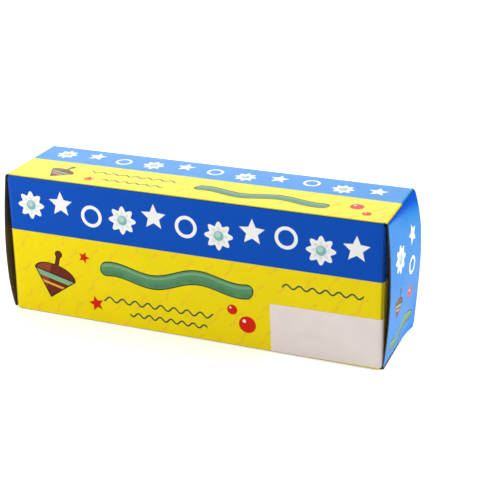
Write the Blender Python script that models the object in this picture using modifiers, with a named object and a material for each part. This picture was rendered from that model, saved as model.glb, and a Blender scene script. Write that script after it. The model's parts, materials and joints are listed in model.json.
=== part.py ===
"""Boxed blow-pipe ball game.

A tuck-end paperboard carton holds a wooden blow pipe, with a nozzle, a post and a hoop on it, and a light ball.
Units are metres and +Z is up. +X runs along the carton and its front panel faces -Y. The origin is the middle of
the carton's underside.
"""

import math

import bmesh
import bpy
from mathutils import Matrix, Vector

# Paperboard
BOARD = 0.0005
FOLD_GAP = 0.0003

# Blow pipe
PIPE_LENGTH = 0.165
PIPE_DIAMETER = 0.018
PIPE_END_ROUND = 0.004
BORE_DIAMETER = 0.009
BORE_PAST_NOZZLE = 0.006
DRILL_POINT = math.radians(31)

# Nozzle on the pipe
NOZZLE_FROM_END = 0.061
NOZZLE_DIAMETER = 0.008
NOZZLE_BORE = 0.0045
NOZZLE_STAND = 0.017
NOZZLE_SEAT = 0.003
NOZZLE_LIP_ROUND = 0.0008

# Post on the pipe
POST_FROM_END = 0.032
POST_DIAMETER = 0.010
POST_STAND = 0.034
POST_SEAT = 0.008
TENON_DIAMETER = 0.006
TENON_LENGTH = 0.003

# Hoop on the post
HOOP_THICKNESS = 0.005
HOOP_RING_RADIUS = 0.017
HOOP_HOLE_DIAMETER = 0.019
HOOP_TAIL_RADIUS = 0.010
HOOP_EDGE_ROUND = 0.001

# Ball
BALL_DIAMETER = 0.032
BALL_FROM_MOUTH = 0.0375

# Clearance between a piece and its seat
SEAT_GAP = 0.0003

# Room that the carton leaves round the game
END_ROOM = 0.0065
SIDE_ROOM = 0.0045
TOP_ROOM = 0.0051

# End closures
END_BOW_FRONT = 0.0028
END_BOW_BACK = 0.0046
END_SIDE_INSET = 0.0006
TONGUE_LENGTH = 0.012
TONGUE_RISE = math.radians(12)
TONGUE_SHOULDER = 0.002
TONGUE_TAPER = 0.0015
TONGUE_CORNER = 0.005
DUST_FLAPS_APART = 0.003
DUST_TOP_SLOPE = math.radians(30)
DUST_ABOVE_TONGUE = 0.003
DUST_CORNER = 0.005
GLUE_FLAP_WIDTH = 0.012
GLUE_FLAP_TAPER = 0.006

# Facets
TURN_STEPS = 40
SMALL_TURN_STEPS = 32
BOW_STEPS = 12
WIDTH_STEPS = 4
CORNER_STEPS = 6
OUTLINE_STEPS = 40
BALL_RINGS = 16
WELD = 1e-6

# Worked out from the sizes above
FOLD_STEP = BOARD + FOLD_GAP
MITRE_INSET = FOLD_GAP / math.sqrt(2)
END_X = PIPE_LENGTH / 2 + END_ROOM
DUST_X = END_X - FOLD_STEP
SIDE_END_X = DUST_X - FOLD_STEP
DEPTH = max(2 * HOOP_RING_RADIUS, BALL_DIAMETER) + 2 * (SIDE_ROOM + BOARD)
TONGUE_FOLD_Z = FOLD_STEP
TONGUE_TOP_Z = TONGUE_FOLD_Z + TONGUE_LENGTH * math.sin(TONGUE_RISE) + BOARD * math.cos(TONGUE_RISE)
PIPE_Z = TONGUE_TOP_Z + SEAT_GAP + PIPE_DIAMETER / 2
PIPE_TOP_Z = PIPE_Z + PIPE_DIAMETER / 2
HOOP_Z = PIPE_TOP_Z + POST_STAND + SEAT_GAP
HEIGHT = HOOP_Z + HOOP_THICKNESS + TOP_ROOM + BOARD
NOZZLE_X = PIPE_LENGTH / 2 - NOZZLE_FROM_END
POST_X = PIPE_LENGTH / 2 - POST_FROM_END
HOOP_REACH = POST_X - NOZZLE_X
END_DROP = HEIGHT - TONGUE_FOLD_Z
BALL_Y = SEAT_GAP + BOARD + BALL_DIAMETER / 2 - DEPTH / 2
BALL_PITCH = (BALL_DIAMETER + PIPE_DIAMETER) / 2 + SEAT_GAP
BALL_Z = PIPE_Z + math.sqrt(BALL_PITCH**2 - BALL_Y**2)
BALL_X = BALL_FROM_MOUTH - PIPE_LENGTH / 2

# Colours
PRINT_YELLOW = (0.855, 0.720, 0.006)
PRINT_BLUE = (0.010, 0.085, 0.462)
BARE_BOARD = (0.138, 0.098, 0.058)
PIPE_GREEN = (0.093, 0.262, 0.127)
STAINED_BROWN = (0.127, 0.017, 0.007)
FOAM_WHITE = (0.800, 0.780, 0.760)


def clear_scene():
    """Remove every object that the scene starts with."""
    for obj in list(bpy.data.objects):
        bpy.data.objects.remove(obj, do_unlink=True)


def new_collection(name):
    """Make a collection in the scene."""
    collection = bpy.data.collections.new(name)
    bpy.context.scene.collection.children.link(collection)
    return collection


def finish(obj, colour, roughness):
    """Give an object a material of its own."""
    material = bpy.data.materials.new(obj.name)
    material.use_nodes = True
    shader = material.node_tree.nodes["Principled BSDF"]
    shader.inputs["Base Color"].default_value = (*colour, 1.0)
    shader.inputs["Roughness"].default_value = roughness
    shader.inputs["Metallic"].default_value = 0.0
    obj.data.materials.clear()
    obj.data.materials.append(material)


def add_object(name, data, collection, parent=None):
    """Put mesh or curve data into the scene as a named object."""
    obj = bpy.data.objects.new(name, data)
    collection.objects.link(obj)
    obj.parent = parent
    return obj


def add_axis(name, collection, place, parent=None, turn=(0.0, 0.0, 0.0)):
    """Add an empty that marks a frame or a fold's axis."""
    empty = add_object(name, None, collection, parent)
    empty.empty_display_size = BALL_DIAMETER / 4
    empty.location = place
    empty.rotation_euler = turn
    return empty


def mesh_from(name, bm):
    """Turn a bmesh into mesh data."""
    bmesh.ops.recalc_face_normals(bm, faces=bm.faces)
    mesh = bpy.data.meshes.new(name)
    bm.to_mesh(mesh)
    bm.free()
    return mesh


def smooth(mesh):
    """Shade a round piece smooth, with its real edges kept sharp."""
    mesh.shade_smooth()
    mesh.set_sharp_from_angle(angle=math.radians(40))


def rounded_outline(corners):
    """Points of a closed outline whose corners, given as (x, y, radius), are rounded by arcs."""
    points = []
    count = len(corners)
    for i, (x, y, radius) in enumerate(corners):
        corner = Vector((x, y))
        if radius == 0.0:
            points.append(corner)
            continue
        before = (Vector(corners[i - 1][:2]) - corner).normalized()
        after = (Vector(corners[(i + 1) % count][:2]) - corner).normalized()
        half = before.angle(after) / 2
        centre = corner + (before + after).normalized() * radius / math.sin(half)
        start = corner + before * radius / math.tan(half) - centre
        sweep = start.angle_signed(corner + after * radius / math.tan(half) - centre)
        for step in range(CORNER_STEPS + 1):
            points.append(centre + Matrix.Rotation(-sweep * step / CORNER_STEPS, 2) @ start)
    return points


def flat_curve(name, outlines, thickness, edge_round=0.0):
    """A 2D curve of one or more closed outlines, filled and thickened about its own plane."""
    curve = bpy.data.curves.new(name, "CURVE")
    curve.dimensions = "2D"
    curve.fill_mode = "BOTH"
    curve.extrude = thickness / 2 - edge_round
    curve.bevel_depth = edge_round
    curve.bevel_resolution = 1
    curve.offset = -edge_round
    for points in outlines:
        spline = curve.splines.new("POLY")
        spline.points.add(len(points) - 1)
        for point, (x, y) in zip(spline.points, points):
            point.co = (x, y, 0.0, 1.0)
        spline.use_cyclic_u = True
    return curve


def arc(centre_x, radius, start, end, steps):
    """Points of an arc about (centre_x, 0), both ends included."""
    angles = [start + (end - start) * i / steps for i in range(steps + 1)]
    return [(centre_x + radius * math.cos(a), radius * math.sin(a)) for a in angles]


def turned(name, profile, steps, collection, closed=False):
    """A turned piece: a profile of (radius, height) points carried round its own Z axis by a Screw."""
    count = len(profile)
    edges = [(i, i + 1) for i in range(count - 1)]
    if closed:
        edges.append((count - 1, 0))
    mesh = bpy.data.meshes.new(name)
    mesh.from_pydata([(radius, 0.0, height) for radius, height in profile], edges, [])
    obj = add_object(name, mesh, collection)
    screw = obj.modifiers.new("Turn", "SCREW")
    screw.axis = "Z"
    screw.angle = 2 * math.pi
    screw.steps = steps
    screw.render_steps = steps
    screw.use_merge_vertices = True
    screw.merge_threshold = WELD
    screw.use_smooth_shade = True
    return obj


def quarter(centre, radius, start):
    """Profile points of a quarter round, which turns clockwise from the start angle."""
    angles = [start - math.pi / 2 * i / CORNER_STEPS for i in range(CORNER_STEPS + 1)]
    return [(centre[0] + radius * math.cos(a), centre[1] + radius * math.sin(a)) for a in angles]


def round_cutter(name, diameter, bottom, top, x, collection):
    """An upright round cutter on the pipe's middle line."""
    bm = bmesh.new()
    bmesh.ops.create_cone(
        bm,
        cap_ends=True,
        segments=SMALL_TURN_STEPS,
        radius1=diameter / 2,
        radius2=diameter / 2,
        depth=top - bottom,
    )
    cutter = add_object(name, mesh_from(name, bm), collection)
    cutter.location = (x, 0.0, (bottom + top) / 2)
    cutter.hide_render = True
    cutter.display_type = "WIRE"
    return cutter


def cut(obj, cutter):
    """Cut one object out of another."""
    boolean = obj.modifiers.new(cutter.name, "BOOLEAN")
    boolean.operation = "DIFFERENCE"
    boolean.solver = "EXACT"
    boolean.object = cutter


def panel_plate(name, half_length, near, far, near_mitred, far_mitred, collection):
    """A flat panel, its outer face on its own Z = 0 plane, with mitred folds along X where asked.

    near and far are where its long edges lie on its own Y axis, before the clearance at a mitred fold.
    """
    near += MITRE_INSET if near_mitred else 0.0
    far -= MITRE_INSET if far_mitred else 0.0
    bm = bmesh.new()
    bmesh.ops.create_cube(bm, size=1.0)
    for vert in bm.verts:
        inner = vert.co.z < 0
        is_far = vert.co.y > 0
        y = far if is_far else near
        if inner and far_mitred and is_far:
            y -= BOARD
        if inner and near_mitred and not is_far:
            y += BOARD
        vert.co = (math.copysign(half_length, vert.co.x), y, -BOARD if inner else 0.0)
    return add_object(name, mesh_from(name, bm), collection)


def build_sleeve(collection):
    """The four walls of the carton and the glue flap that joins them into a sleeve."""
    front = panel_plate("front_panel", SIDE_END_X, 0.0, HEIGHT, True, True, collection)
    front.location = (0.0, -DEPTH / 2, 0.0)
    front.rotation_euler = (math.pi / 2, 0.0, 0.0)
    finish(front, PRINT_YELLOW, 0.3)

    top = panel_plate("top_panel", DUST_X, -DEPTH / 2, DEPTH / 2, True, True, collection)
    top.location = (0.0, 0.0, HEIGHT)
    finish(top, PRINT_YELLOW, 0.3)

    back = panel_plate("back_panel", SIDE_END_X, -HEIGHT, 0.0, True, False, collection)
    back.location = (0.0, DEPTH / 2, 0.0)
    back.rotation_euler = (-math.pi / 2, 0.0, 0.0)
    finish(back, PRINT_YELLOW, 0.3)

    bottom_far = DEPTH / 2 - FOLD_STEP
    bottom = panel_plate("bottom_panel", END_X, -bottom_far, DEPTH / 2, False, True, collection)
    bottom.rotation_euler = (math.pi, 0.0, 0.0)
    finish(bottom, PRINT_BLUE, 0.3)

    low = FOLD_STEP
    outline = [
        (-SIDE_END_X, low),
        (SIDE_END_X, low),
        (SIDE_END_X - GLUE_FLAP_TAPER, low + GLUE_FLAP_WIDTH),
        (GLUE_FLAP_TAPER - SIDE_END_X, low + GLUE_FLAP_WIDTH),
    ]
    glue_flap = add_object("glue_flap", flat_curve("glue_flap", [outline], BOARD), collection)
    glue_flap.location = (0.0, DEPTH / 2 - FOLD_STEP - BOARD / 2, 0.0)
    glue_flap.rotation_euler = (math.pi / 2, 0.0, 0.0)
    finish(glue_flap, BARE_BOARD, 0.7)


def end_panel_mesh(name, front_sign):
    """An end panel that hangs from its fold and bows outwards as circular arcs from fold to fold.

    The bow changes evenly from the panel's front edge, on the side that front_sign gives, to its back edge.
    """
    width = DEPTH - 2 * END_SIDE_INSET
    bm = bmesh.new()
    bmesh.ops.create_grid(bm, x_segments=WIDTH_STEPS, y_segments=BOW_STEPS, size=0.5)
    for vert in bm.verts:
        bow = END_BOW_BACK + (END_BOW_FRONT - END_BOW_BACK) * (0.5 + front_sign * vert.co.x)
        bow_radius = (END_DROP**2 / 4 + bow**2) / (2 * bow)
        half_angle = math.asin(END_DROP / 2 / bow_radius)
        cut_angle = half_angle - FOLD_STEP / bow_radius
        along = 0.5 - vert.co.y
        angle = -half_angle + along * (half_angle + cut_angle)
        out = bow - bow_radius * (1 - math.cos(angle))
        down = END_DROP / 2 + bow_radius * math.sin(angle)
        vert.co = (out, vert.co.x * width, -down)
    mesh = bpy.data.meshes.new(name)
    bm.to_mesh(mesh)
    bm.free()
    return mesh


def build_end(side, collection):
    """One tuck end: the end panel, its tongue and two dust flaps, each on its own fold's axis."""
    turn = 0.0 if side == "right" else math.pi
    front_sign = -1 if side == "right" else 1
    end = add_axis(side + "_end", collection, (0.0, 0.0, 0.0), None, (0.0, 0.0, turn))

    flap_axis = add_axis(side + "_flap_axis", collection, (END_X, 0.0, HEIGHT), end)
    name = side + "_end_panel"
    panel = add_object(name, end_panel_mesh(name, front_sign), collection, flap_axis)
    solidify = panel.modifiers.new("Board", "SOLIDIFY")
    solidify.thickness = BOARD
    solidify.offset = -1.0
    smooth(panel.data)
    finish(panel, PRINT_BLUE, 0.3)

    tongue_turn = (0.0, TONGUE_RISE, 0.0)
    tongue_axis = add_axis(side + "_tongue_axis", collection, (0.0, 0.0, -END_DROP), flap_axis, tongue_turn)
    half = DEPTH / 2 - END_SIDE_INSET - TONGUE_SHOULDER
    tongue_corners = [
        (-half, 0.0, 0.0),
        (half, 0.0, 0.0),
        (half - TONGUE_TAPER, TONGUE_LENGTH, TONGUE_CORNER),
        (TONGUE_TAPER - half, TONGUE_LENGTH, TONGUE_CORNER),
    ]
    name = side + "_tuck_tongue"
    outline = rounded_outline(tongue_corners)
    tongue = add_object(name, flat_curve(name, [outline], BOARD), collection, tongue_axis)
    tongue.location = (0.0, 0.0, BOARD / 2)
    tongue.rotation_euler = (0.0, 0.0, math.pi / 2)
    finish(tongue, PRINT_BLUE, 0.3)

    reach = DEPTH / 2 - DUST_FLAPS_APART / 2
    low = FOLD_STEP
    high = HEIGHT - FOLD_STEP
    clear = END_SIDE_INSET + TONGUE_SHOULDER / 2
    dust_corners = [
        (0.0, low, 0.0),
        (clear, low + DUST_ABOVE_TONGUE, 0.0),
        (reach, low + DUST_ABOVE_TONGUE, DUST_CORNER),
        (reach, high - reach * math.tan(DUST_TOP_SLOPE), DUST_CORNER),
        (0.0, high, 0.0),
    ]
    for sign in (-1, 1):
        face = "front" if sign == front_sign else "back"
        name = f"{side}_{face}_dust_flap"
        axis = add_axis(name + "_axis", collection, (DUST_X, sign * DEPTH / 2, 0.0), end)
        outline = rounded_outline(dust_corners)
        flap = add_object(name, flat_curve(name, [outline], BOARD), collection, axis)
        flap.location = (-BOARD / 2, 0.0, 0.0)
        flap.rotation_euler = (math.pi / 2, 0.0, -sign * math.pi / 2)
        finish(flap, PRINT_BLUE, 0.3)


def build_pipe(collection, cutters):
    """The blow pipe: a turned rod with rounded ends and a blind bore, drilled for the nozzle and the post."""
    half = PIPE_LENGTH / 2
    radius = PIPE_DIAMETER / 2
    bore = BORE_DIAMETER / 2
    end_round = min(PIPE_END_ROUND, (radius - bore) * 0.9)
    bore_end = NOZZLE_X + BORE_PAST_NOZZLE
    profile = [(0.0, half)]
    profile += quarter((radius - end_round, half - end_round), end_round, math.pi / 2)
    profile += quarter((radius - end_round, end_round - half), end_round, 0.0)
    profile += [(bore, -half), (bore, bore_end), (0.0, bore_end + bore * math.tan(DRILL_POINT))]
    pipe = turned("blow_pipe", profile, TURN_STEPS, collection)
    pipe.location = (0.0, 0.0, PIPE_Z)
    pipe.rotation_euler = (0.0, math.pi / 2, 0.0)

    above = PIPE_TOP_Z + PIPE_DIAMETER
    nozzle_hole = NOZZLE_DIAMETER + 2 * SEAT_GAP
    nozzle_floor = PIPE_TOP_Z - NOZZLE_SEAT - SEAT_GAP
    post_hole = POST_DIAMETER + 2 * SEAT_GAP
    post_floor = PIPE_TOP_Z - POST_SEAT - SEAT_GAP
    cut(pipe, round_cutter("nozzle_seat_cut", nozzle_hole, nozzle_floor, above, NOZZLE_X, cutters))
    cut(pipe, round_cutter("air_hole_cut", NOZZLE_BORE, PIPE_Z, above, NOZZLE_X, cutters))
    cut(pipe, round_cutter("post_seat_cut", post_hole, post_floor, above, POST_X, cutters))
    finish(pipe, PIPE_GREEN, 0.45)


def build_nozzle(collection):
    """The nozzle: a short tube with a rounded lip, seated in the pipe."""
    outer = NOZZLE_DIAMETER / 2
    bore = NOZZLE_BORE / 2
    lip = min(NOZZLE_LIP_ROUND, (outer - bore) / 2 * 0.9)
    top = NOZZLE_STAND
    profile = quarter((bore + lip, top - lip), lip, math.pi)
    profile += quarter((outer - lip, top - lip), lip, math.pi / 2)
    profile += [(outer, -NOZZLE_SEAT), (bore, -NOZZLE_SEAT)]
    nozzle = turned("nozzle", profile, SMALL_TURN_STEPS, collection, closed=True)
    nozzle.location = (NOZZLE_X, 0.0, PIPE_TOP_Z)
    finish(nozzle, STAINED_BROWN, 0.5)


def build_post(collection):
    """The post: a dowel seated in the pipe, with a tenon for the hoop."""
    radius = POST_DIAMETER / 2
    tenon = TENON_DIAMETER / 2
    profile = [
        (0.0, POST_STAND + TENON_LENGTH),
        (tenon, POST_STAND + TENON_LENGTH),
        (tenon, POST_STAND),
        (radius, POST_STAND),
        (radius, -POST_SEAT),
        (0.0, -POST_SEAT),
    ]
    post = turned("post", profile, SMALL_TURN_STEPS, collection)
    post.location = (POST_X, 0.0, PIPE_TOP_Z)
    finish(post, STAINED_BROWN, 0.5)


def build_hoop(collection, cutters):
    """The hoop: a flat ring over the nozzle that narrows to a tail on the post, with a blind mortise below."""
    lean = math.acos((HOOP_RING_RADIUS - HOOP_TAIL_RADIUS) / HOOP_REACH)
    outline = arc(0.0, HOOP_RING_RADIUS, lean, 2 * math.pi - lean, OUTLINE_STEPS)
    outline += arc(HOOP_REACH, HOOP_TAIL_RADIUS, -lean, lean, OUTLINE_STEPS // 2)
    hole = arc(0.0, HOOP_HOLE_DIAMETER / 2, 0.0, 2 * math.pi, OUTLINE_STEPS)[:-1]
    edge_round = min(HOOP_EDGE_ROUND, HOOP_THICKNESS / 3)
    flat = flat_curve("hoop", [outline, hole], HOOP_THICKNESS, edge_round)
    guide = add_object("hoop_outline", flat, collection)
    guide.location = (NOZZLE_X, 0.0, HOOP_Z + HOOP_THICKNESS / 2)

    bpy.context.view_layer.update()
    graph = bpy.context.evaluated_depsgraph_get()
    mesh = bpy.data.meshes.new_from_object(guide.evaluated_get(graph))
    bm = bmesh.new()
    bm.from_mesh(mesh)
    bmesh.ops.remove_doubles(bm, verts=bm.verts, dist=WELD)
    bmesh.ops.recalc_face_normals(bm, faces=bm.faces)
    bm.to_mesh(mesh)
    bm.free()
    mesh.name = "hoop"
    hoop = add_object("hoop", mesh, collection)
    hoop.matrix_world = guide.matrix_world
    bpy.data.objects.remove(guide, do_unlink=True)

    mortise_top = HOOP_Z + TENON_LENGTH + SEAT_GAP
    mortise = TENON_DIAMETER + 2 * SEAT_GAP
    cut(hoop, round_cutter("mortise_cut", mortise, PIPE_TOP_Z, mortise_top, POST_X, cutters))
    smooth(mesh)
    finish(hoop, STAINED_BROWN, 0.5)


def build_ball(collection):
    """The ball, which lies in the groove between the pipe and the front panel."""
    bm = bmesh.new()
    bmesh.ops.create_uvsphere(bm, u_segments=2 * BALL_RINGS, v_segments=BALL_RINGS, radius=BALL_DIAMETER / 2)
    ball = add_object("ball", mesh_from("ball", bm), collection)
    ball.location = (BALL_X, BALL_Y, BALL_Z)
    smooth(ball.data)
    finish(ball, FOAM_WHITE, 0.8)


def main():
    """Build the boxed game."""
    clear_scene()
    parts = new_collection("boxed_ball_game")
    cutters = new_collection("cutters")
    cutters.hide_render = True
    build_sleeve(parts)
    build_end("right", parts)
    build_end("left", parts)
    build_pipe(parts, cutters)
    build_nozzle(parts)
    build_post(parts)
    build_hoop(parts, cutters)
    build_ball(parts)


main()
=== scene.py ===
"""Looks of the boxed ball game: a closed, printed tuck-end carton with the wooden game and its ball inside.

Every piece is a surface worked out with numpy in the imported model's frame, in metres. The prints are laid out
in millimetres on their panels and drawn by shader nodes.
"""

import json
import logging
import math
from dataclasses import dataclass
from enum import Enum, IntEnum
from typing import Any, Mapping, Optional, Sequence, Union

import bpy
import numpy as np
from mathutils import Matrix, Vector

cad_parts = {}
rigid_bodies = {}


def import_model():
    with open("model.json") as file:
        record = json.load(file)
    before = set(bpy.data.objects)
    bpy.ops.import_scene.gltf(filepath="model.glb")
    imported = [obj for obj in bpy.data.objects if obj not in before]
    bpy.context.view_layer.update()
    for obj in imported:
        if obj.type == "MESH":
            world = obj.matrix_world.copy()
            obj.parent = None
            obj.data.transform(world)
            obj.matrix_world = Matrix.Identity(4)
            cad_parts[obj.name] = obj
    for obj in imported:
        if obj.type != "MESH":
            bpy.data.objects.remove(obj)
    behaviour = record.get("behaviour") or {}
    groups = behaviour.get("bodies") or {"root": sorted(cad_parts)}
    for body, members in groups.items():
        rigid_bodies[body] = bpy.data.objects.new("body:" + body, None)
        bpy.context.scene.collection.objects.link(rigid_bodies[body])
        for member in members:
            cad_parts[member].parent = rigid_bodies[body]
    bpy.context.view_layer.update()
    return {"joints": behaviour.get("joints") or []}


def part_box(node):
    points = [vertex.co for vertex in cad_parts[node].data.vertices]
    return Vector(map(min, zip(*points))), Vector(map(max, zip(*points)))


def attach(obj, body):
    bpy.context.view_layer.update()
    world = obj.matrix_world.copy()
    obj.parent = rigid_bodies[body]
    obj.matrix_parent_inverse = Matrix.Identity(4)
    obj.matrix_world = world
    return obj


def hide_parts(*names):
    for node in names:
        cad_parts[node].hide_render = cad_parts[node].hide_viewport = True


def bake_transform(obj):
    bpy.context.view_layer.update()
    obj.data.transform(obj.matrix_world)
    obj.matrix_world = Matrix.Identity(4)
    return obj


LOG = logging.getLogger("boxed_game")
MM = 1000.0
FOLD = "fold"
CLOSED_PLACE = "closed_place"
SHEET_SHARP = 38.0
WOOD_SHARP = 50.0
STAGE_SHARP = 60.0
MATT = 0.9


class Ink(Enum):
    """Colours of the prints, papers and woods, as sRGB values from 0 to 255."""

    BLUE = (0, 80, 188)
    # Painted light: a lighter blue for the ends, standing in for the stronger light on them.
    LIT_END_BLUE = (10, 129, 212)
    # Painted shade: the deeper blue of the wedge under the ends' top fold.
    SHADED_END_BLUE = (0, 82, 202)
    # Painted light: a lighter blue for the top and the bottom, standing in for the light on the top.
    LIT_TOP_BLUE = (0, 143, 228)
    YELLOW = (248, 224, 12)
    # Painted light: a lighter yellow for the top and the bottom, standing in for the light on the top.
    LIT_TOP_YELLOW = (250, 237, 8)
    WHITE = (250, 250, 248)
    PETAL_SHADE = (222, 230, 228)
    TEAL = (128, 190, 186)
    GREEN = (92, 148, 104)
    GREEN_SHADE = (66, 116, 82)
    GREEN_LIGHT = (132, 180, 136)
    # Dark ink of the print's outlines; also mixed in along the creases as painted shade.
    OUTLINE = (24, 34, 30)
    DEEP_GREEN = (18, 84, 74)
    BROWN = (112, 42, 24)
    BROWN_LIGHT = (156, 74, 44)
    RED = (218, 34, 14)
    ORANGE = (246, 176, 62)
    COATED = (226, 224, 218)
    CHIPBOARD = (104, 88, 68)
    CHIP_DARK = (70, 57, 42)
    FIBRE = (142, 128, 106)
    CUT_BOARD = (76, 66, 54)
    STICKER = (242, 230, 226)
    STICKER_TONE = (238, 225, 221)
    PIPE_GREEN = (84, 140, 96)
    PIPE_DEEP = (58, 108, 70)
    STAIN = (104, 40, 22)
    STAIN_DEEP = (66, 22, 12)
    FOAM = (236, 232, 226)
    FOAM_SEAM = (206, 202, 196)
    FLOOR = (246, 246, 246)
    FLOOR_TONE = (243, 243, 243)

    @property
    def linear(self) -> tuple[float, float, float, float]:
        """The colour as linear red, green, blue and alpha, as shader sockets take it."""
        steps = np.array(self.value) / 255.0
        low = steps / 12.92
        high = ((steps + 0.055) / 1.055) ** 2.4
        red, green, blue = np.where(steps <= 0.04045, low, high)
        return (float(red), float(green), float(blue), 1.0)


class Side(Enum):
    """The two ends of the carton, with the sign of x at each."""

    RIGHT = 1
    LEFT = -1

    @property
    def label(self) -> str:
        """The side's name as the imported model's nodes and bodies write it."""
        return self.name.lower()


class Face(Enum):
    """The front and the back of the carton, with the sign of y at each."""

    FRONT = -1
    BACK = 1

    @property
    def label(self) -> str:
        """The face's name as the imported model's nodes and bodies write it."""
        return self.name.lower()


@dataclass(frozen=True)
class Field:
    """A number that varies over a surface: an output socket and the graph that it belongs to."""

    graph: "Graph"
    socket: bpy.types.NodeSocket

    def __add__(self, other: "Number") -> "Field":
        """Returns the sum."""
        return self.graph.math("ADD", self, other)

    def __radd__(self, other: float) -> "Field":
        """Returns the sum."""
        return self.graph.math("ADD", other, self)

    def __sub__(self, other: "Number") -> "Field":
        """Returns the difference."""
        return self.graph.math("SUBTRACT", self, other)

    def __rsub__(self, other: float) -> "Field":
        """Returns the difference."""
        return self.graph.math("SUBTRACT", other, self)

    def __mul__(self, other: "Number") -> "Field":
        """Returns the product."""
        return self.graph.math("MULTIPLY", self, other)

    def __rmul__(self, other: float) -> "Field":
        """Returns the product."""
        return self.graph.math("MULTIPLY", other, self)

    def __truediv__(self, other: "Number") -> "Field":
        """Returns the quotient."""
        return self.graph.math("DIVIDE", self, other)

    def __neg__(self) -> "Field":
        """Returns the negative."""
        return self.graph.math("MULTIPLY", self, -1.0)

    def __abs__(self) -> "Field":
        """Returns the size without the sign."""
        return self.graph.math("ABSOLUTE", self)

    def sine(self) -> "Field":
        """Returns the sine, of radians."""
        return self.graph.math("SINE", self)

    def cosine(self) -> "Field":
        """Returns the cosine, of radians."""
        return self.graph.math("COSINE", self)

    def floor(self) -> "Field":
        """Returns the whole number below."""
        return self.graph.math("FLOOR", self)

    def modulo(self, period: float) -> "Field":
        """Returns the remainder in 0 to period."""
        return self.graph.math("FLOORED_MODULO", self, period)

    def least(self, other: "Number") -> "Field":
        """Returns the smaller of the two."""
        return self.graph.math("MINIMUM", self, other)

    def most(self, other: "Number") -> "Field":
        """Returns the larger of the two."""
        return self.graph.math("MAXIMUM", self, other)

    def inside(self, soft: float = 0.14) -> "Field":
        """Turns a signed distance into a mask: 1 where it is below zero and 0 above, over a soft edge.

        Args:
            soft: Width of the edge, in the distance's own unit.

        Returns:
            The mask.
        """
        return self.graph.math("MULTIPLY_ADD", self, -1.0 / soft, 0.5, clamp=True)

    def ramp(self, low: float, high: float) -> "Field":
        """Maps this number to 0 below low and 1 above high, straight in between.

        Args:
            low: Where the ramp starts.
            high: Where it ends.

        Returns:
            The mapped number.
        """
        slope = 1.0 / (high - low)
        return self.graph.math("MULTIPLY_ADD", self, slope, -low * slope, clamp=True)


Number = Union[Field, float]
Colour = Union[bpy.types.NodeSocket, Ink]


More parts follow.
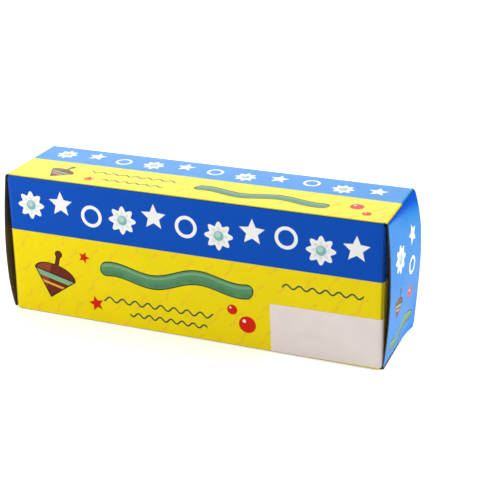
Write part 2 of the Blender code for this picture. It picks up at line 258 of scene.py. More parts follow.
class Graph:
    """The node tree of one material, with a short call for each kind of node that the finishes use."""

    def __init__(self, name: str, attribute: str = "") -> None:
        """Starts a material with a principled shader.

        Args:
            name: Name of the material.
            attribute: Mesh attribute that gives places on the piece; object coordinates where it is empty.
        """
        self.material = bpy.data.materials.new(name)
        self.material.use_nodes = True
        self.tree = self.material.node_tree
        self.shader = self.tree.nodes["Principled BSDF"]
        if attribute:
            node = self.tree.nodes.new("ShaderNodeAttribute")
            node.attribute_name = attribute
            self.coordinates = node.outputs["Vector"]
        else:
            self.coordinates = self.tree.nodes.new("ShaderNodeTexCoord").outputs["Object"]

    def feed(self, socket: bpy.types.NodeSocket, value: Union[Number, Colour]) -> None:
        """Puts a value, a colour or another node's output into a socket.

        Args:
            socket: The input to fill.
            value: What goes in.
        """
        if isinstance(value, Field):
            self.tree.links.new(value.socket, socket)
        elif isinstance(value, bpy.types.NodeSocket):
            self.tree.links.new(value, socket)
        elif isinstance(value, Ink):
            socket.default_value = value.linear
        else:
            socket.default_value = value

    def math(self, operation: str, *terms: Number, clamp: bool = False) -> Field:
        """Adds a math node.

        Args:
            operation: Blender's name of the operation.
            terms: One to three inputs.
            clamp: Whether the result is held between 0 and 1.

        Returns:
            The node's result.
        """
        node = self.tree.nodes.new("ShaderNodeMath")
        node.operation = operation
        node.use_clamp = clamp
        for socket, term in zip(node.inputs, terms):
            self.feed(socket, term)
        return Field(self, node.outputs[0])

    def hypot(self, first: Field, second: Field) -> Field:
        """Returns the root of the sum of two squares."""
        return self.math("SQRT", self.math("MULTIPLY_ADD", first, first, second * second))

    def place(self) -> tuple[Field, Field, Field]:
        """Reads the place on the piece.

        Returns:
            x, y and z, in millimetres.
        """
        scale = self.tree.nodes.new("ShaderNodeVectorMath")
        scale.operation = "SCALE"
        scale.inputs["Scale"].default_value = MM
        self.tree.links.new(self.coordinates, scale.inputs[0])
        split = self.tree.nodes.new("ShaderNodeSeparateXYZ")
        self.tree.links.new(scale.outputs[0], split.inputs[0])
        x, y, z = (Field(self, socket) for socket in split.outputs)
        return x, y, z

    def noise(self, scale: float, detail: float = 2.0, stretch: Sequence[float] = (1.0, 1.0, 1.0)) -> Field:
        """Adds a noise of about 0 to 1.

        Args:
            scale: Waves per metre.
            detail: Octaves.
            stretch: Factor of the coordinates along x, y and z; a small factor draws the noise out.

        Returns:
            The noise.
        """
        mapping = self.tree.nodes.new("ShaderNodeMapping")
        mapping.inputs["Scale"].default_value = tuple(stretch)
        self.tree.links.new(self.coordinates, mapping.inputs["Vector"])
        node = self.tree.nodes.new("ShaderNodeTexNoise")
        node.inputs["Scale"].default_value = scale
        node.inputs["Detail"].default_value = detail
        self.tree.links.new(mapping.outputs["Vector"], node.inputs["Vector"])
        return Field(self, node.outputs["Fac"])

    def cells(self, scale: float) -> Field:
        """Adds a pattern of packed cells.

        Args:
            scale: Cells per metre.

        Returns:
            The distance to the nearest seam.
        """
        node = self.tree.nodes.new("ShaderNodeTexVoronoi")
        node.feature = "DISTANCE_TO_EDGE"
        node.inputs["Scale"].default_value = scale
        self.tree.links.new(self.coordinates, node.inputs["Vector"])
        return Field(self, node.outputs["Distance"])

    def attribute(self, name: str) -> Field:
        """Reads a number that the mesh holds at its points.

        Args:
            name: Name of the mesh attribute.

        Returns:
            The number.
        """
        node = self.tree.nodes.new("ShaderNodeAttribute")
        node.attribute_name = name
        return Field(self, node.outputs["Fac"])

    def mix(self, factor: Number, under: Colour, over: Colour) -> bpy.types.NodeSocket:
        """Mixes two colours.

        Args:
            factor: 0 for the first colour, 1 for the second.
            under: The first colour.
            over: The second colour.

        Returns:
            The mixed colour.
        """
        node = self.tree.nodes.new("ShaderNodeMix")
        node.data_type = "RGBA"
        self.feed(node.inputs[0], factor)
        self.feed(node.inputs[6], under)
        self.feed(node.inputs[7], over)
        return node.outputs[2]

    def bump(self, height: Field, distance: float) -> None:
        """Lets a height bend the shader's normal.

        Args:
            height: Height, of about 0 to 1.
            distance: Height of 1, in metres.
        """
        node = self.tree.nodes.new("ShaderNodeBump")
        node.inputs["Strength"].default_value = 1.0
        node.inputs["Distance"].default_value = distance
        self.feed(node.inputs["Height"], height)
        self.tree.links.new(node.outputs["Normal"], self.shader.inputs["Normal"])

    def dress(self, colour: Colour, roughness: Number, specular: float) -> bpy.types.Material:
        """Fills the shader's main sockets.

        Args:
            colour: Base colour.
            roughness: Roughness.
            specular: Specular level, where 0.5 is that of common plastics.

        Returns:
            The finished material.
        """
        self.feed(self.shader.inputs["Base Color"], colour)
        self.feed(self.shader.inputs["Roughness"], roughness)
        self.shader.inputs["Specular IOR Level"].default_value = specular
        return self.material


class PrintSheet:
    """The print of one panel, painted layer over layer in millimetres on the panel."""

    def __init__(self, graph: Graph, u: Field, v: Field, ground: Ink) -> None:
        """Starts a sheet in one colour.

        Args:
            graph: The material's nodes.
            u: Place along the panel.
            v: Place up the panel.
            ground: The colour under everything.
        """
        self.graph = graph
        self.u = u
        self.v = v
        self.colour: Colour = ground

    def local(self, u: float, v: float, turn: float = 0.0) -> tuple[Field, Field]:
        """Gives coordinates about a point of the sheet.

        Args:
            u: The point's place along the panel.
            v: The point's place up the panel.
            turn: Turn of the new axes, in degrees.

        Returns:
            Places across and up from the point.
        """
        across = self.u - u
        up = self.v - v
        if turn == 0.0:
            return across, up
        cosine = math.cos(math.radians(turn))
        sine = math.sin(math.radians(turn))
        return across * cosine + up * sine, up * cosine - across * sine

    def paint(self, mask: Field, ink: Ink, share: float = 1.0) -> None:
        """Lays a colour over the sheet where the mask is 1.

        Args:
            mask: Where the ink goes.
            ink: The colour.
            share: How well the ink covers.
        """
        cover = mask if share == 1.0 else mask * share
        self.colour = self.graph.mix(cover, self.colour, ink)


@dataclass(frozen=True)
class Band:
    """A band of one ink over everything above an edge."""

    edge: float
    ink: Ink

    def paint(self, sheet: PrintSheet) -> None:
        """Paints the part of the sheet where v is more than the edge."""
        sheet.paint((self.edge - sheet.v).inside(), self.ink)


@dataclass(frozen=True)
class Squiggles:
    """Pale slanting strokes in staggered rows: each is a short sine wave with a thin line's width."""

    turn: float = 56.0
    pitch: float = 17.0
    row: float = 7.6
    length: float = 5.4
    width: float = 0.5
    soft: float = 0.9
    drift: float = 2.0
    drift_step: float = 2.3
    wave_step: float = 0.9
    wave_rise: float = 0.5
    wear_scale: float = 260.0
    cover: float = 0.5

    def paint(self, sheet: PrintSheet) -> None:
        """Paints the strokes.

        Args:
            sheet: The sheet to paint on.
        """
        along, across = sheet.local(0.0, 0.0, self.turn)
        row = (across / self.row).floor()
        drift = (row * self.drift_step).sine() * self.drift
        shifted = along + row.modulo(2.0) * (self.pitch / 2) + drift
        step = shifted.modulo(self.pitch) - self.pitch / 2
        side = across - (row + 0.5) * self.row
        wave = (step * self.wave_step).sine() * self.wave_rise
        stroke = (abs(side - wave) - self.width).most(abs(step) - self.length)
        worn = sheet.graph.noise(self.wear_scale, 1.0).ramp(0.3, 0.6)
        sheet.paint(stroke.inside(self.soft) * worn, Ink.ORANGE, self.cover)


@dataclass(frozen=True)
class Toy:
    """A printed motif with its place on the sheet, its size and its turn in degrees."""

    u: float
    v: float
    size: float
    turn: float = 0.0

    def paint(self, sheet: PrintSheet) -> None:
        """Draws the motif at its place."""
        x, y = sheet.local(self.u, self.v, self.turn)
        self.draw(sheet, x, y, None)

    def draw(self, sheet: PrintSheet, x: Field, y: Field, gate: Optional[Field]) -> None:
        """Draws the motif about x and y of zero.

        Args:
            sheet: The sheet to paint on.
            x: Place across the motif.
            y: Place up the motif.
            gate: Where the motif may show.
        """
        raise NotImplementedError

    @staticmethod
    def gated(mask: Field, gate: Optional[Field]) -> Field:
        """Returns the mask, kept to the gate where there is one."""
        return mask if gate is None else mask * gate


@dataclass(frozen=True)
class Daisy(Toy):
    """A white daisy: its edge is a circle whose radius waves with the angle, once for each petal.

    Its lengths are shares of its size.
    """

    petals: float = 8.0
    reach: float = 0.85
    depth: float = 0.15
    shade_reach: float = 0.52
    shade_depth: float = 0.14
    shade_cover: float = 0.7
    core: float = 0.34
    lit: float = 0.2
    lit_left: float = 0.06
    lit_up: float = 0.08
    lit_cover: float = 0.6
    soft: float = 0.5

    def draw(self, sheet: PrintSheet, x: Field, y: Field, gate: Optional[Field]) -> None:
        """Draws the petals, their shade, and a core with a lit side.

        Args:
            sheet: The sheet to paint on.
            x: Place across the motif.
            y: Place up the motif.
            gate: Where the motif may show.
        """
        unit = self.size
        reach = sheet.graph.hypot(x, y)
        wave = (sheet.graph.math("ARCTAN2", x, y) * self.petals).cosine()
        petals = reach - wave * (self.depth * unit) - self.reach * unit
        shade = (reach - self.shade_reach * unit - wave * (self.shade_depth * unit)).inside(self.soft)
        core = reach - self.core * unit
        lit = sheet.graph.hypot(x + self.lit_left * unit, y - self.lit_up * unit) - self.lit * unit
        sheet.paint(self.gated(petals.inside(), gate), Ink.WHITE)
        sheet.paint(self.gated(shade, gate), Ink.PETAL_SHADE, self.shade_cover)
        sheet.paint(self.gated(core.inside(), gate), Ink.TEAL)
        sheet.paint(self.gated(lit.inside(self.soft), gate), Ink.PETAL_SHADE, self.lit_cover)


@dataclass(frozen=True)
class Star(Toy):
    """A five-pointed star: in each of ten like wedges, the side is one straight line from tip to notch."""

    ink: Ink = Ink.WHITE
    tips: int = 5
    notch: float = 0.46

    def draw(self, sheet: PrintSheet, x: Field, y: Field, gate: Optional[Field]) -> None:
        """Draws the star with its first tip up.

        Args:
            sheet: The sheet to paint on.
            x: Place across the motif.
            y: Place up the motif.
            gate: Where the motif may show.
        """
        wedge = math.tau / self.tips
        angle = sheet.graph.math("ARCTAN2", x, y)
        folded = abs((angle + wedge / 2).modulo(wedge) - wedge / 2)
        reach = sheet.graph.hypot(x, y)
        notch_x = self.notch * math.cos(wedge / 2)
        notch_y = self.notch * math.sin(wedge / 2)
        length = math.hypot(notch_x - 1.0, notch_y)
        normal_x = notch_y / length
        normal_y = (1.0 - notch_x) / length
        side = reach * (folded.cosine() * normal_x + folded.sine() * normal_y) - self.size * normal_x
        sheet.paint(self.gated(side.inside(), gate), self.ink)


@dataclass(frozen=True)
class RingToy(Toy):
    """A flat white ring: where the distance from the middle is near one radius."""

    width: float = 1.5

    def draw(self, sheet: PrintSheet, x: Field, y: Field, gate: Optional[Field]) -> None:
        """Draws the ring."""
        edge = abs(sheet.graph.hypot(x, y) - (self.size - self.width / 2)) - self.width / 2
        sheet.paint(self.gated(edge.inside(), gate), Ink.WHITE)


@dataclass(frozen=True)
class Spot(Toy):
    """A round red spot with a small glint, whose place and size are shares of the spot's size."""

    glint: float = 0.2
    glint_left: float = 0.36
    glint_up: float = 0.38

    def draw(self, sheet: PrintSheet, x: Field, y: Field, gate: Optional[Field]) -> None:
        """Draws the disc, then the glint as a small disc up and to the left.

        Args:
            sheet: The sheet to paint on.
            x: Place across the motif.
            y: Place up the motif.
            gate: Where the motif may show.
        """
        unit = self.size
        reach = sheet.graph.hypot(x, y)
        spark = sheet.graph.hypot(x + self.glint_left * unit, y - self.glint_up * unit)
        sheet.paint(self.gated((reach - unit).inside(), gate), Ink.RED)
        sheet.paint(self.gated((spark - self.glint * unit).inside(), gate), Ink.WHITE)


@dataclass(frozen=True)
class SpinningTop(Toy):
    """A spinning top: a cone under a low dome, with a stem, a knob and two stripes, in a dark outline.

    Its lengths are shares of its size, apart from the outline, which is in millimetres.
    """

    outline: float = 0.55
    steepness: float = 1.15
    tip: float = 1.02
    brim: float = 0.12
    dome_middle: float = 0.1
    dome_cut: float = 0.08
    dome_shape: tuple[float, float] = (0.98, 0.48)
    dome_scale: float = 0.6
    stem_half: float = 0.1
    stem_middle: float = 0.75
    stem_reach: float = 0.35
    knob: float = 0.17
    knob_middle: float = 1.08
    lit_edge: float = 0.25
    lit_lean: float = 0.6
    lit_past: float = 0.1
    lit_cover: float = 0.8
    stripe: tuple[float, float] = (0.04, 0.11)
    line: tuple[float, float] = (0.38, 0.05)
    soft: float = 0.6

    def draw(self, sheet: PrintSheet, x: Field, y: Field, gate: Optional[Field]) -> None:
        """Draws the union of cone, dome, stem and knob, then the stripes inside it.

        Args:
            sheet: The sheet to paint on.
            x: Place across the motif.
            y: Place up the motif.
            gate: Where the motif may show.
        """
        unit = self.size
        graph = sheet.graph
        wide, tall = self.dome_shape
        side = (abs(x) * self.steepness - y - self.tip * unit) / math.hypot(1.0, self.steepness)
        cone = side.most(y - self.brim * unit)
        dome = (graph.hypot(x / wide, (y - self.dome_middle * unit) / tall) - unit) * self.dome_scale
        dome = dome.most(self.dome_cut * unit - y)
        stem = abs(y - self.stem_middle * unit) - self.stem_reach * unit
        stem = (abs(x) - self.stem_half * unit).most(stem)
        knob = graph.hypot(x, y - self.knob_middle * unit) - self.knob * unit
        body = cone.least(dome).least(stem.least(knob))
        inner = body + self.outline
        sheet.paint(self.gated(body.inside(), gate), Ink.OUTLINE)
        sheet.paint(self.gated(inner.inside(), gate), Ink.BROWN)
        lit = inner.most(x + self.lit_edge * unit).most(y * self.lit_lean + x - self.lit_past * unit)
        sheet.paint(self.gated(lit.inside(self.soft), gate), Ink.BROWN_LIGHT, self.lit_cover)
        for (below, half), ink in ((self.stripe, Ink.GREEN_LIGHT), (self.line, Ink.ORANGE)):
            stripe = inner.most(abs(y + below * unit) - half * unit)
            sheet.paint(self.gated(stripe.inside(), gate), ink)


@dataclass(frozen=True)
class Ribbon(Toy):
    """A waving ribbon in a dark outline: all points within half its width of a sine wave of a set length.

    The edge of its shade and the place and half width of its light are shares of its half width.
    """

    half_width: float = 3.6
    sway: float = 2.2
    wave: float = 42.0
    outline: float = 0.5
    wash_scale: float = 180.0
    shade_edge: float = 0.22
    shade_soft: float = 1.6
    light_middle: float = 0.48
    light_half: float = 0.14
    light_soft: float = 0.5
    cover: float = 0.8

    def draw(self, sheet: PrintSheet, x: Field, y: Field, gate: Optional[Field]) -> None:
        """Draws the outline, the ribbon, its lower shade and its upper light.

        Args:
            sheet: The sheet to paint on.
            x: Place across the motif.
            y: Place up the motif.
            gate: Where the motif may show.
        """
        half = self.half_width
        rise = y - (x * (math.tau / self.wave)).sine() * self.sway
        past = (abs(x) - (self.size - half)).most(0.0)
        edge = sheet.graph.hypot(past, rise) - half
        inner = edge + self.outline
        wash = sheet.graph.noise(self.wash_scale, 3.0).ramp(0.3, 0.7)
        sheet.paint(self.gated(edge.inside(), gate), Ink.OUTLINE)
        sheet.paint(self.gated(inner.inside(), gate), Ink.GREEN)
        shade = inner.most(rise + self.shade_edge * half).inside(self.shade_soft) * wash
        sheet.paint(self.gated(shade, gate), Ink.GREEN_SHADE, self.cover)
        light = inner.most(abs(rise - self.light_middle * half) - self.light_half * half)
        sheet.paint(self.gated(light.inside(self.light_soft), gate), Ink.GREEN_LIGHT, self.cover)


@dataclass(frozen=True)
class WaveLine(Toy):
    """A thin wavy line: a sine wave with a pen's width, cut to a length."""

    wave: float = 6.4
    rise: float = 1.1
    pen: float = 0.38

    def draw(self, sheet: PrintSheet, x: Field, y: Field, gate: Optional[Field]) -> None:
        """Draws the line, its width measured square to its slope.

        Args:
            sheet: The sheet to paint on.
            x: Place across the motif.
            y: Place up the motif.
            gate: Where the motif may show.
        """
        turn = x * (math.tau / self.wave)
        slope = turn.cosine() * (math.tau / self.wave * self.rise)
        swing = abs(y - turn.sine() * self.rise)
        stroke = swing / sheet.graph.math("SQRT", slope * slope + 1.0) - self.pen
        line = stroke.most(abs(x) - self.size)
        sheet.paint(self.gated(line.inside(), gate), Ink.DEEP_GREEN)


@dataclass(frozen=True)
class ToyRow:
    """A row of white motifs in like cells: daisies, stars and rings by turns, swaying along the row.

    The star, the ring and the ring's width are shares of the row's size.
    """

    start: float
    pitch: float
    count: int
    v: float
    size: float
    sway: float
    sway_step: float = 1.9
    star: float = 0.92
    ring: float = 0.78
    ring_width: float = 0.24
    soft: float = 0.2

    def paint(self, sheet: PrintSheet) -> None:
        """Draws all motifs at once in one repeated cell, each kind where the cell's number calls for it.

        Args:
            sheet: The sheet to paint on.
        """
        cell = ((sheet.u - self.start) / self.pitch).floor()
        x = sheet.u - self.start - (cell + 0.5) * self.pitch
        y = sheet.v - self.v - (cell * self.sway_step).sine() * self.sway
        middle = (self.count - 1) / 2
        within = (abs(cell - middle) - self.count / 2).inside(self.soft)
        toys: Sequence[Toy] = (
            Daisy(0.0, 0.0, self.size),
            Star(0.0, 0.0, self.size * self.star),
            RingToy(0.0, 0.0, self.size * self.ring, width=self.size * self.ring_width),
        )
        kind = cell.modulo(float(len(toys)))
        for number, toy in enumerate(toys):
            gate = (abs(kind - float(number)) - 0.5).inside(self.soft) * within
            toy.draw(sheet, x, y, gate)


@dataclass(frozen=True)
class LongPrint:
    """The print of the front and of the back: a blue band with white toys over a yellow field."""

    edge: float = 40.6

    def paint(self, sheet: PrintSheet) -> None:
        """Paints the panel.

        Args:
            sheet: The sheet to paint on.
        """
        Squiggles().paint(sheet)
        Band(self.edge, Ink.BLUE).paint(sheet)
        ToyRow(start=-84.0, pitch=15.27, count=11, v=53.6, size=6.6, sway=2.4).paint(sheet)
        SpinningTop(-67.0, 19.6, 11.0, turn=-14.0).paint(sheet)
        Ribbon(-6.0, 27.4, 37.0, turn=3.0).paint(sheet)
        WaveLine(-15.0, 12.6, 27.0).paint(sheet)
        WaveLine(-10.0, 6.8, 19.0, wave=5.4, rise=0.9).paint(sheet)
        WaveLine(62.0, 32.6, 18.0, wave=5.8, rise=0.9).paint(sheet)
        Star(-46.0, 9.4, 4.0, turn=14.0, ink=Ink.RED).paint(sheet)
        Star(-51.0, 31.6, 3.0, turn=-20.0, ink=Ink.RED).paint(sheet)
        Spot(28.0, 11.4, 4.0).paint(sheet)
        Spot(21.0, 17.6, 2.4).paint(sheet)


@dataclass(frozen=True)
class TopPrint:
    """The print of the top and the bottom: a yellow strip along the front and a blue one along the back, in
    inks lighter than the front's as painted light on the top.
    """

    edge: float = 2.0

    def paint(self, sheet: PrintSheet) -> None:
        """Paints the panel.

        Args:
            sheet: The sheet to paint on.
        """
        Squiggles().paint(sheet)
        # Painted light: the top's band takes a lighter blue than the front's.
        Band(self.edge, Ink.LIT_TOP_BLUE).paint(sheet)
        ToyRow(start=-83.0, pitch=15.1, count=11, v=11.8, size=5.0, sway=1.7).paint(sheet)
        SpinningTop(-66.0, -11.2, 6.8, turn=-18.0).paint(sheet)
        WaveLine(-32.0, -6.4, 21.0, wave=5.6, rise=0.8).paint(sheet)
        WaveLine(-29.0, -14.0, 15.0, wave=5.0, rise=0.7).paint(sheet)
        Ribbon(30.0, -10.4, 31.0, half_width=2.8, sway=1.6, wave=34.0).paint(sheet)
        Star(-50.0, -15.0, 3.0, turn=10.0, ink=Ink.RED).paint(sheet)
        Spot(72.0, -8.0, 3.0).paint(sheet)
        Spot(78.0, -14.4, 2.0).paint(sheet)


@dataclass(frozen=True)
class EndPrint:
    """The print of the ends: blue all over, lighter than the front's as painted light, deeper in a wedge along
    the top fold as painted shade, with a few toys.
    """

    fold: float = 66.5
    half: float = 22.0
    wedge: tuple[float, float] = (8.0, 3.0)
    narrow: float = 0.06

    def paint(self, sheet: PrintSheet) -> None:
        """Paints the panel.

        Args:
            sheet: The sheet to paint on.
        """
        slope = (self.fold - sheet.v) / (sheet.u.ramp(-self.half, self.half) + self.narrow)
        # Painted shade: a deeper blue wedge under the top fold stands in for the shade there.
        sheet.paint(slope.ramp(*self.wedge), Ink.SHADED_END_BLUE)
        Star(9.0, 51.0, 5.0, turn=12.0).paint(sheet)
        Daisy(-8.0, 46.0, 6.4).paint(sheet)
        RingToy(8.5, 37.0, 4.2, width=1.4).paint(sheet)
        SpinningTop(-8.0, 25.0, 6.0, turn=-14.0).paint(sheet)
        Spot(9.0, 24.0, 2.8).paint(sheet)
        Ribbon(0.0, 9.4, 16.0, turn=8.0, half_width=2.6, sway=1.4, wave=24.0).paint(sheet)


@dataclass(frozen=True)
class FlapPrint:
    """The print of a dust flap: the side's two colours a little way round the fold, plain blue beyond."""

    edge: float = 40.6
    bleed: float = 7.0

    def paint(self, sheet: PrintSheet) -> None:
        """Paints blue above the band's edge, and beyond a short distance u from the fold."""
        Band(self.edge, Ink.BLUE).paint(sheet)
        sheet.paint((self.bleed - sheet.u).inside(), Ink.BLUE)


class Panel(Enum):
    """Each printed panel: how the sheet's u and v come from x, y and z in millimetres."""

    FRONT = "front"
    BACK = "back"
    TOP = "top"
    BOTTOM = "bottom"
    RIGHT_END = "right_end"
    LEFT_END = "left_end"

    def axes(self, x: Field, y: Field, z: Field) -> tuple[Field, Field]:
        """Finds the place on the panel.

        Args:
            x: Place along the carton.
            y: Place from front to back.
            z: Height.

        Returns:
            u and v, as someone who faces the panel reads them.
        """
        choice = {
            Panel.FRONT: lambda: (x, z),
            Panel.BACK: lambda: (-x, z),
            Panel.TOP: lambda: (x, y),
            Panel.BOTTOM: lambda: (x, -y),
            Panel.RIGHT_END: lambda: (y, z),
            Panel.LEFT_END: lambda: (-y, z),
        }
        return choice[self]()


Layout = Union[LongPrint, TopPrint, EndPrint, FlapPrint]


@dataclass(frozen=True)
class PrintedBoard:
    """Varnished print on coated board: faint changes of tone, creases darkened as painted shade and flecked
    with bared coating, and a fine grain.
    """

    specular: float = 0.08
    roughness: float = 0.26
    tone: float = 0.05
    crease_shade: float = 0.55
    bared: float = 0.3
    mottle_scale: float = 90.0
    grain_scale: float = 1400.0
    fleck_scale: float = 3400.0
    warp_scale: float = 38.0
    ripple_scale: float = 700.0
    relief: float = 0.00002

    def make(self, sheet: PrintSheet) -> bpy.types.Material:
        """Dresses a painted sheet as varnished board.

        Args:
            sheet: The painted print.

        Returns:
            The material.
        """
        graph = sheet.graph
        fold = graph.attribute(FOLD)
        mottle = graph.noise(self.mottle_scale, 3.0)
        grain = graph.noise(self.grain_scale)
        colour = graph.mix(mottle.ramp(0.35, 0.75) * self.tone, sheet.colour, Ink.OUTLINE)
        # Painted shade: the creases are darkened towards the outline ink, standing in for the shade on the
        # fold's curve; the flecks below are wear.
        colour = graph.mix(fold.ramp(0.72, 1.0) * self.crease_shade, colour, Ink.OUTLINE)
        flecks = (graph.noise(self.fleck_scale, 3.0) + fold * 0.1).ramp(0.74, 0.84) * fold.ramp(0.4, 0.9)
        colour = graph.mix(flecks * self.bared, colour, Ink.COATED)
        rough = mottle * 0.08 + grain * 0.05 + fold * 0.1 + (self.roughness - 0.06)
        warp = graph.noise(self.warp_scale) * 6.0
        ripple = graph.noise(self.ripple_scale) * 0.14
        graph.bump(warp + ripple + grain * 0.05, self.relief)
        return graph.dress(colour, rough, self.specular)


@dataclass(frozen=True)
class BareBoard:
    """Grey recycled board: soft clouds of tone, dark flecks and pale fibres, quite matt."""

    base: Ink = Ink.CHIPBOARD
    specular: float = 0.15
    roughness: float = 0.78
    cloud_scale: float = 130.0
    fleck_scale: float = 1500.0
    fleck_stretch: tuple[float, float, float] = (1.0, 0.6, 1.0)
    fibre_scale: float = 900.0
    fibre_stretch: tuple[float, float, float] = (0.16, 1.0, 1.0)
    relief: float = 0.00003

    def make(self, name: str) -> bpy.types.Material:
        """Makes the material.

        Args:
            name: Name of the material.

        Returns:
            The material.
        """
        graph = Graph(name, CLOSED_PLACE)
        clouds = graph.noise(self.cloud_scale, 4.0)
        flecks = graph.noise(self.fleck_scale, 2.0, self.fleck_stretch).ramp(0.62, 0.74)
        fibres = graph.noise(self.fibre_scale, 2.0, self.fibre_stretch).ramp(0.6, 0.78)
        colour = graph.mix(clouds.ramp(0.3, 0.75) * 0.3, self.base, Ink.CHIP_DARK)
        colour = graph.mix(flecks * 0.5, colour, Ink.CHIP_DARK)
        colour = graph.mix(fibres * 0.45, colour, Ink.FIBRE)
        graph.bump(fibres * 0.6 + flecks * 0.4 + clouds * 0.5, self.relief)
        return graph.dress(colour, clouds * 0.1 + self.roughness, self.specular)


@dataclass(frozen=True)
class StickerPaper:
    """Blank sticker paper: warm white with a faint cloudy tone and a low sheen."""

    specular: float = 0.3
    roughness: float = 0.42
    cloud_scale: float = 160.0
    fibre_scale: float = 1600.0
    relief: float = 0.00001

    def make(self, name: str) -> bpy.types.Material:
        """Makes the material.

        Args:
            name: Name of the material.

        Returns:
            The material.
        """
        graph = Graph(name, CLOSED_PLACE)
        clouds = graph.noise(self.cloud_scale, 3.0)
        fibres = graph.noise(self.fibre_scale, 3.0)
        colour = graph.mix(clouds.ramp(0.3, 0.7), Ink.STICKER, Ink.STICKER_TONE)
        graph.bump(fibres * 0.5 + clouds, self.relief)
        return graph.dress(colour, fibres * 0.12 + self.roughness, self.specular)


@dataclass(frozen=True)
class Wood:
    """Wood under paint or stain: grain and pores drawn out along the piece, and brush marks in the sheen."""

    light: Ink
    deep: Ink
    stretch: tuple[float, float, float]
    grain: float
    specular: float
    roughness: float
    figure_scale: float = 260.0
    pore_scale: float = 1500.0
    brush_scale: float = 800.0
    relief: float = 0.00004

    def make(self, name: str) -> bpy.types.Material:
        """Makes the material.

        Args:
            name: Name of the material.

        Returns:
            The material.
        """
        graph = Graph(name)
        figure = graph.noise(self.figure_scale, 4.0, self.stretch)
        pores = graph.noise(self.pore_scale, 2.0, self.stretch).ramp(0.58, 0.72)
        brush = graph.noise(self.brush_scale, 3.0, self.stretch)
        colour = graph.mix(figure.ramp(0.35, 0.7) * self.grain, self.light, self.deep)
        colour = graph.mix(pores * self.grain * 0.6, colour, self.deep)
        graph.bump(brush * 0.6 + figure * 0.6 - pores * 0.5, self.relief)
        return graph.dress(colour, brush * 0.16 + (self.roughness - 0.08), self.specular)


@dataclass(frozen=True)
class BeadFoam:
    """Moulded bead foam: packed beads with faint seams between them."""

    specular: float = 0.3
    roughness: float = 0.48
    bead_scale: float = 420.0
    tone_scale: float = 300.0
    relief: float = 0.00009

    def make(self, name: str) -> bpy.types.Material:
        """Makes the material.

        Args:
            name: Name of the material.

        Returns:
            The material.
        """
        graph = Graph(name)
        seam = graph.cells(self.bead_scale).ramp(0.0, 0.12)
        tone = graph.noise(self.tone_scale)
        colour = graph.mix(seam * (tone * 0.3 + 0.7), Ink.FOAM_SEAM, Ink.FOAM)
        graph.bump(seam + tone * 0.3, self.relief)
        return graph.dress(colour, tone * 0.15 + self.roughness, self.specular)


@dataclass(frozen=True)
class FloorPaper:
    """The studio floor: near-white paper with hardly any tone, lifted towards white where it is looked at.

    A mirror of it in the varnish is lifted less.
    """

    seen_lift: float = 0.45
    mirrored_lift: float = 0.26
    tone_scale: float = 3.0

    def make(self, name: str) -> bpy.types.Material:
        """Makes the material.

        Args:
            name: Name of the material.

        Returns:
            The material.
        """
        graph = Graph(name)
        colour = graph.mix(graph.noise(self.tone_scale), Ink.FLOOR, Ink.FLOOR_TONE)
        path = graph.tree.nodes.new("ShaderNodeLightPath")
        seen = Field(graph, path.outputs["Is Camera Ray"]) * self.seen_lift
        mirrored = Field(graph, path.outputs["Is Glossy Ray"]) * self.mirrored_lift
        graph.feed(graph.shader.inputs["Emission Strength"], seen + mirrored)
        graph.feed(graph.shader.inputs["Emission Color"], Ink.WHITE)
        return graph.dress(colour, MATT, 0.0)


def fold_curve(before: np.ndarray, corner: np.ndarray, after: np.ndarray, steps: int) -> np.ndarray:
    """A rounded fold: the parabola that leaves one point and reaches the other along the lines to the corner.

    The point at t is (1-t)^2 before + 2t(1-t) corner + t^2 after.

    Args:
        before: Start, or an array of starts.
        corner: Where the flat sheets would meet.
        after: End, or an array of ends.
        steps: Points on the curve.

    Returns:
        The points, with the steps as the first axis.
    """
    start, middle, end = np.broadcast_arrays(before, corner, after)
    t = np.linspace(0.0, 1.0, steps).reshape(-1, *([1] * start.ndim))
    return (1 - t) ** 2 * start + 2 * t * (1 - t) * middle + t**2 * end


def fold_ease(steps: int) -> np.ndarray:
    """How much of a move of a fold's corner and end its points take: 1 - (1-t)^2.

    Args:
        steps: Points on the curve.

    Returns:
        One share for each point.
    """
    return 1 - np.linspace(1.0, 0.0, steps) ** 2


def link_mesh(name: str, points: np.ndarray, faces: Sequence[Sequence[int]],
              sharp: float) -> bpy.types.Object:
    """Puts points and faces into a new object at the origin, smooth but for edges sharper than an angle.

    Args:
        name: Name of the piece.
        points: Points, one in each row.
        faces: Point numbers of each face.
        sharp: Angle in degrees.

    Returns:
        The object.
    """
    mesh = bpy.data.meshes.new(name)
    mesh.from_pydata(points.tolist(), [], faces)
    mesh.update()
    mesh.shade_smooth()
    mesh.set_sharp_from_angle(angle=math.radians(sharp))
    obj = bpy.data.objects.new(name, mesh)
    bpy.context.scene.collection.objects.link(obj)
    return obj


def grid_quads(numbers: np.ndarray) -> np.ndarray:
    """The quads of a grid of point numbers, turning from a column step to a row step.

    Args:
        numbers: Point numbers by row and column.

    Returns:
        Four point numbers in each row.
    """
    quads = np.stack((numbers[:-1, :-1], numbers[:-1, 1:], numbers[1:, 1:], numbers[1:, :-1]), axis=-1)
    return quads.reshape(-1, 4)


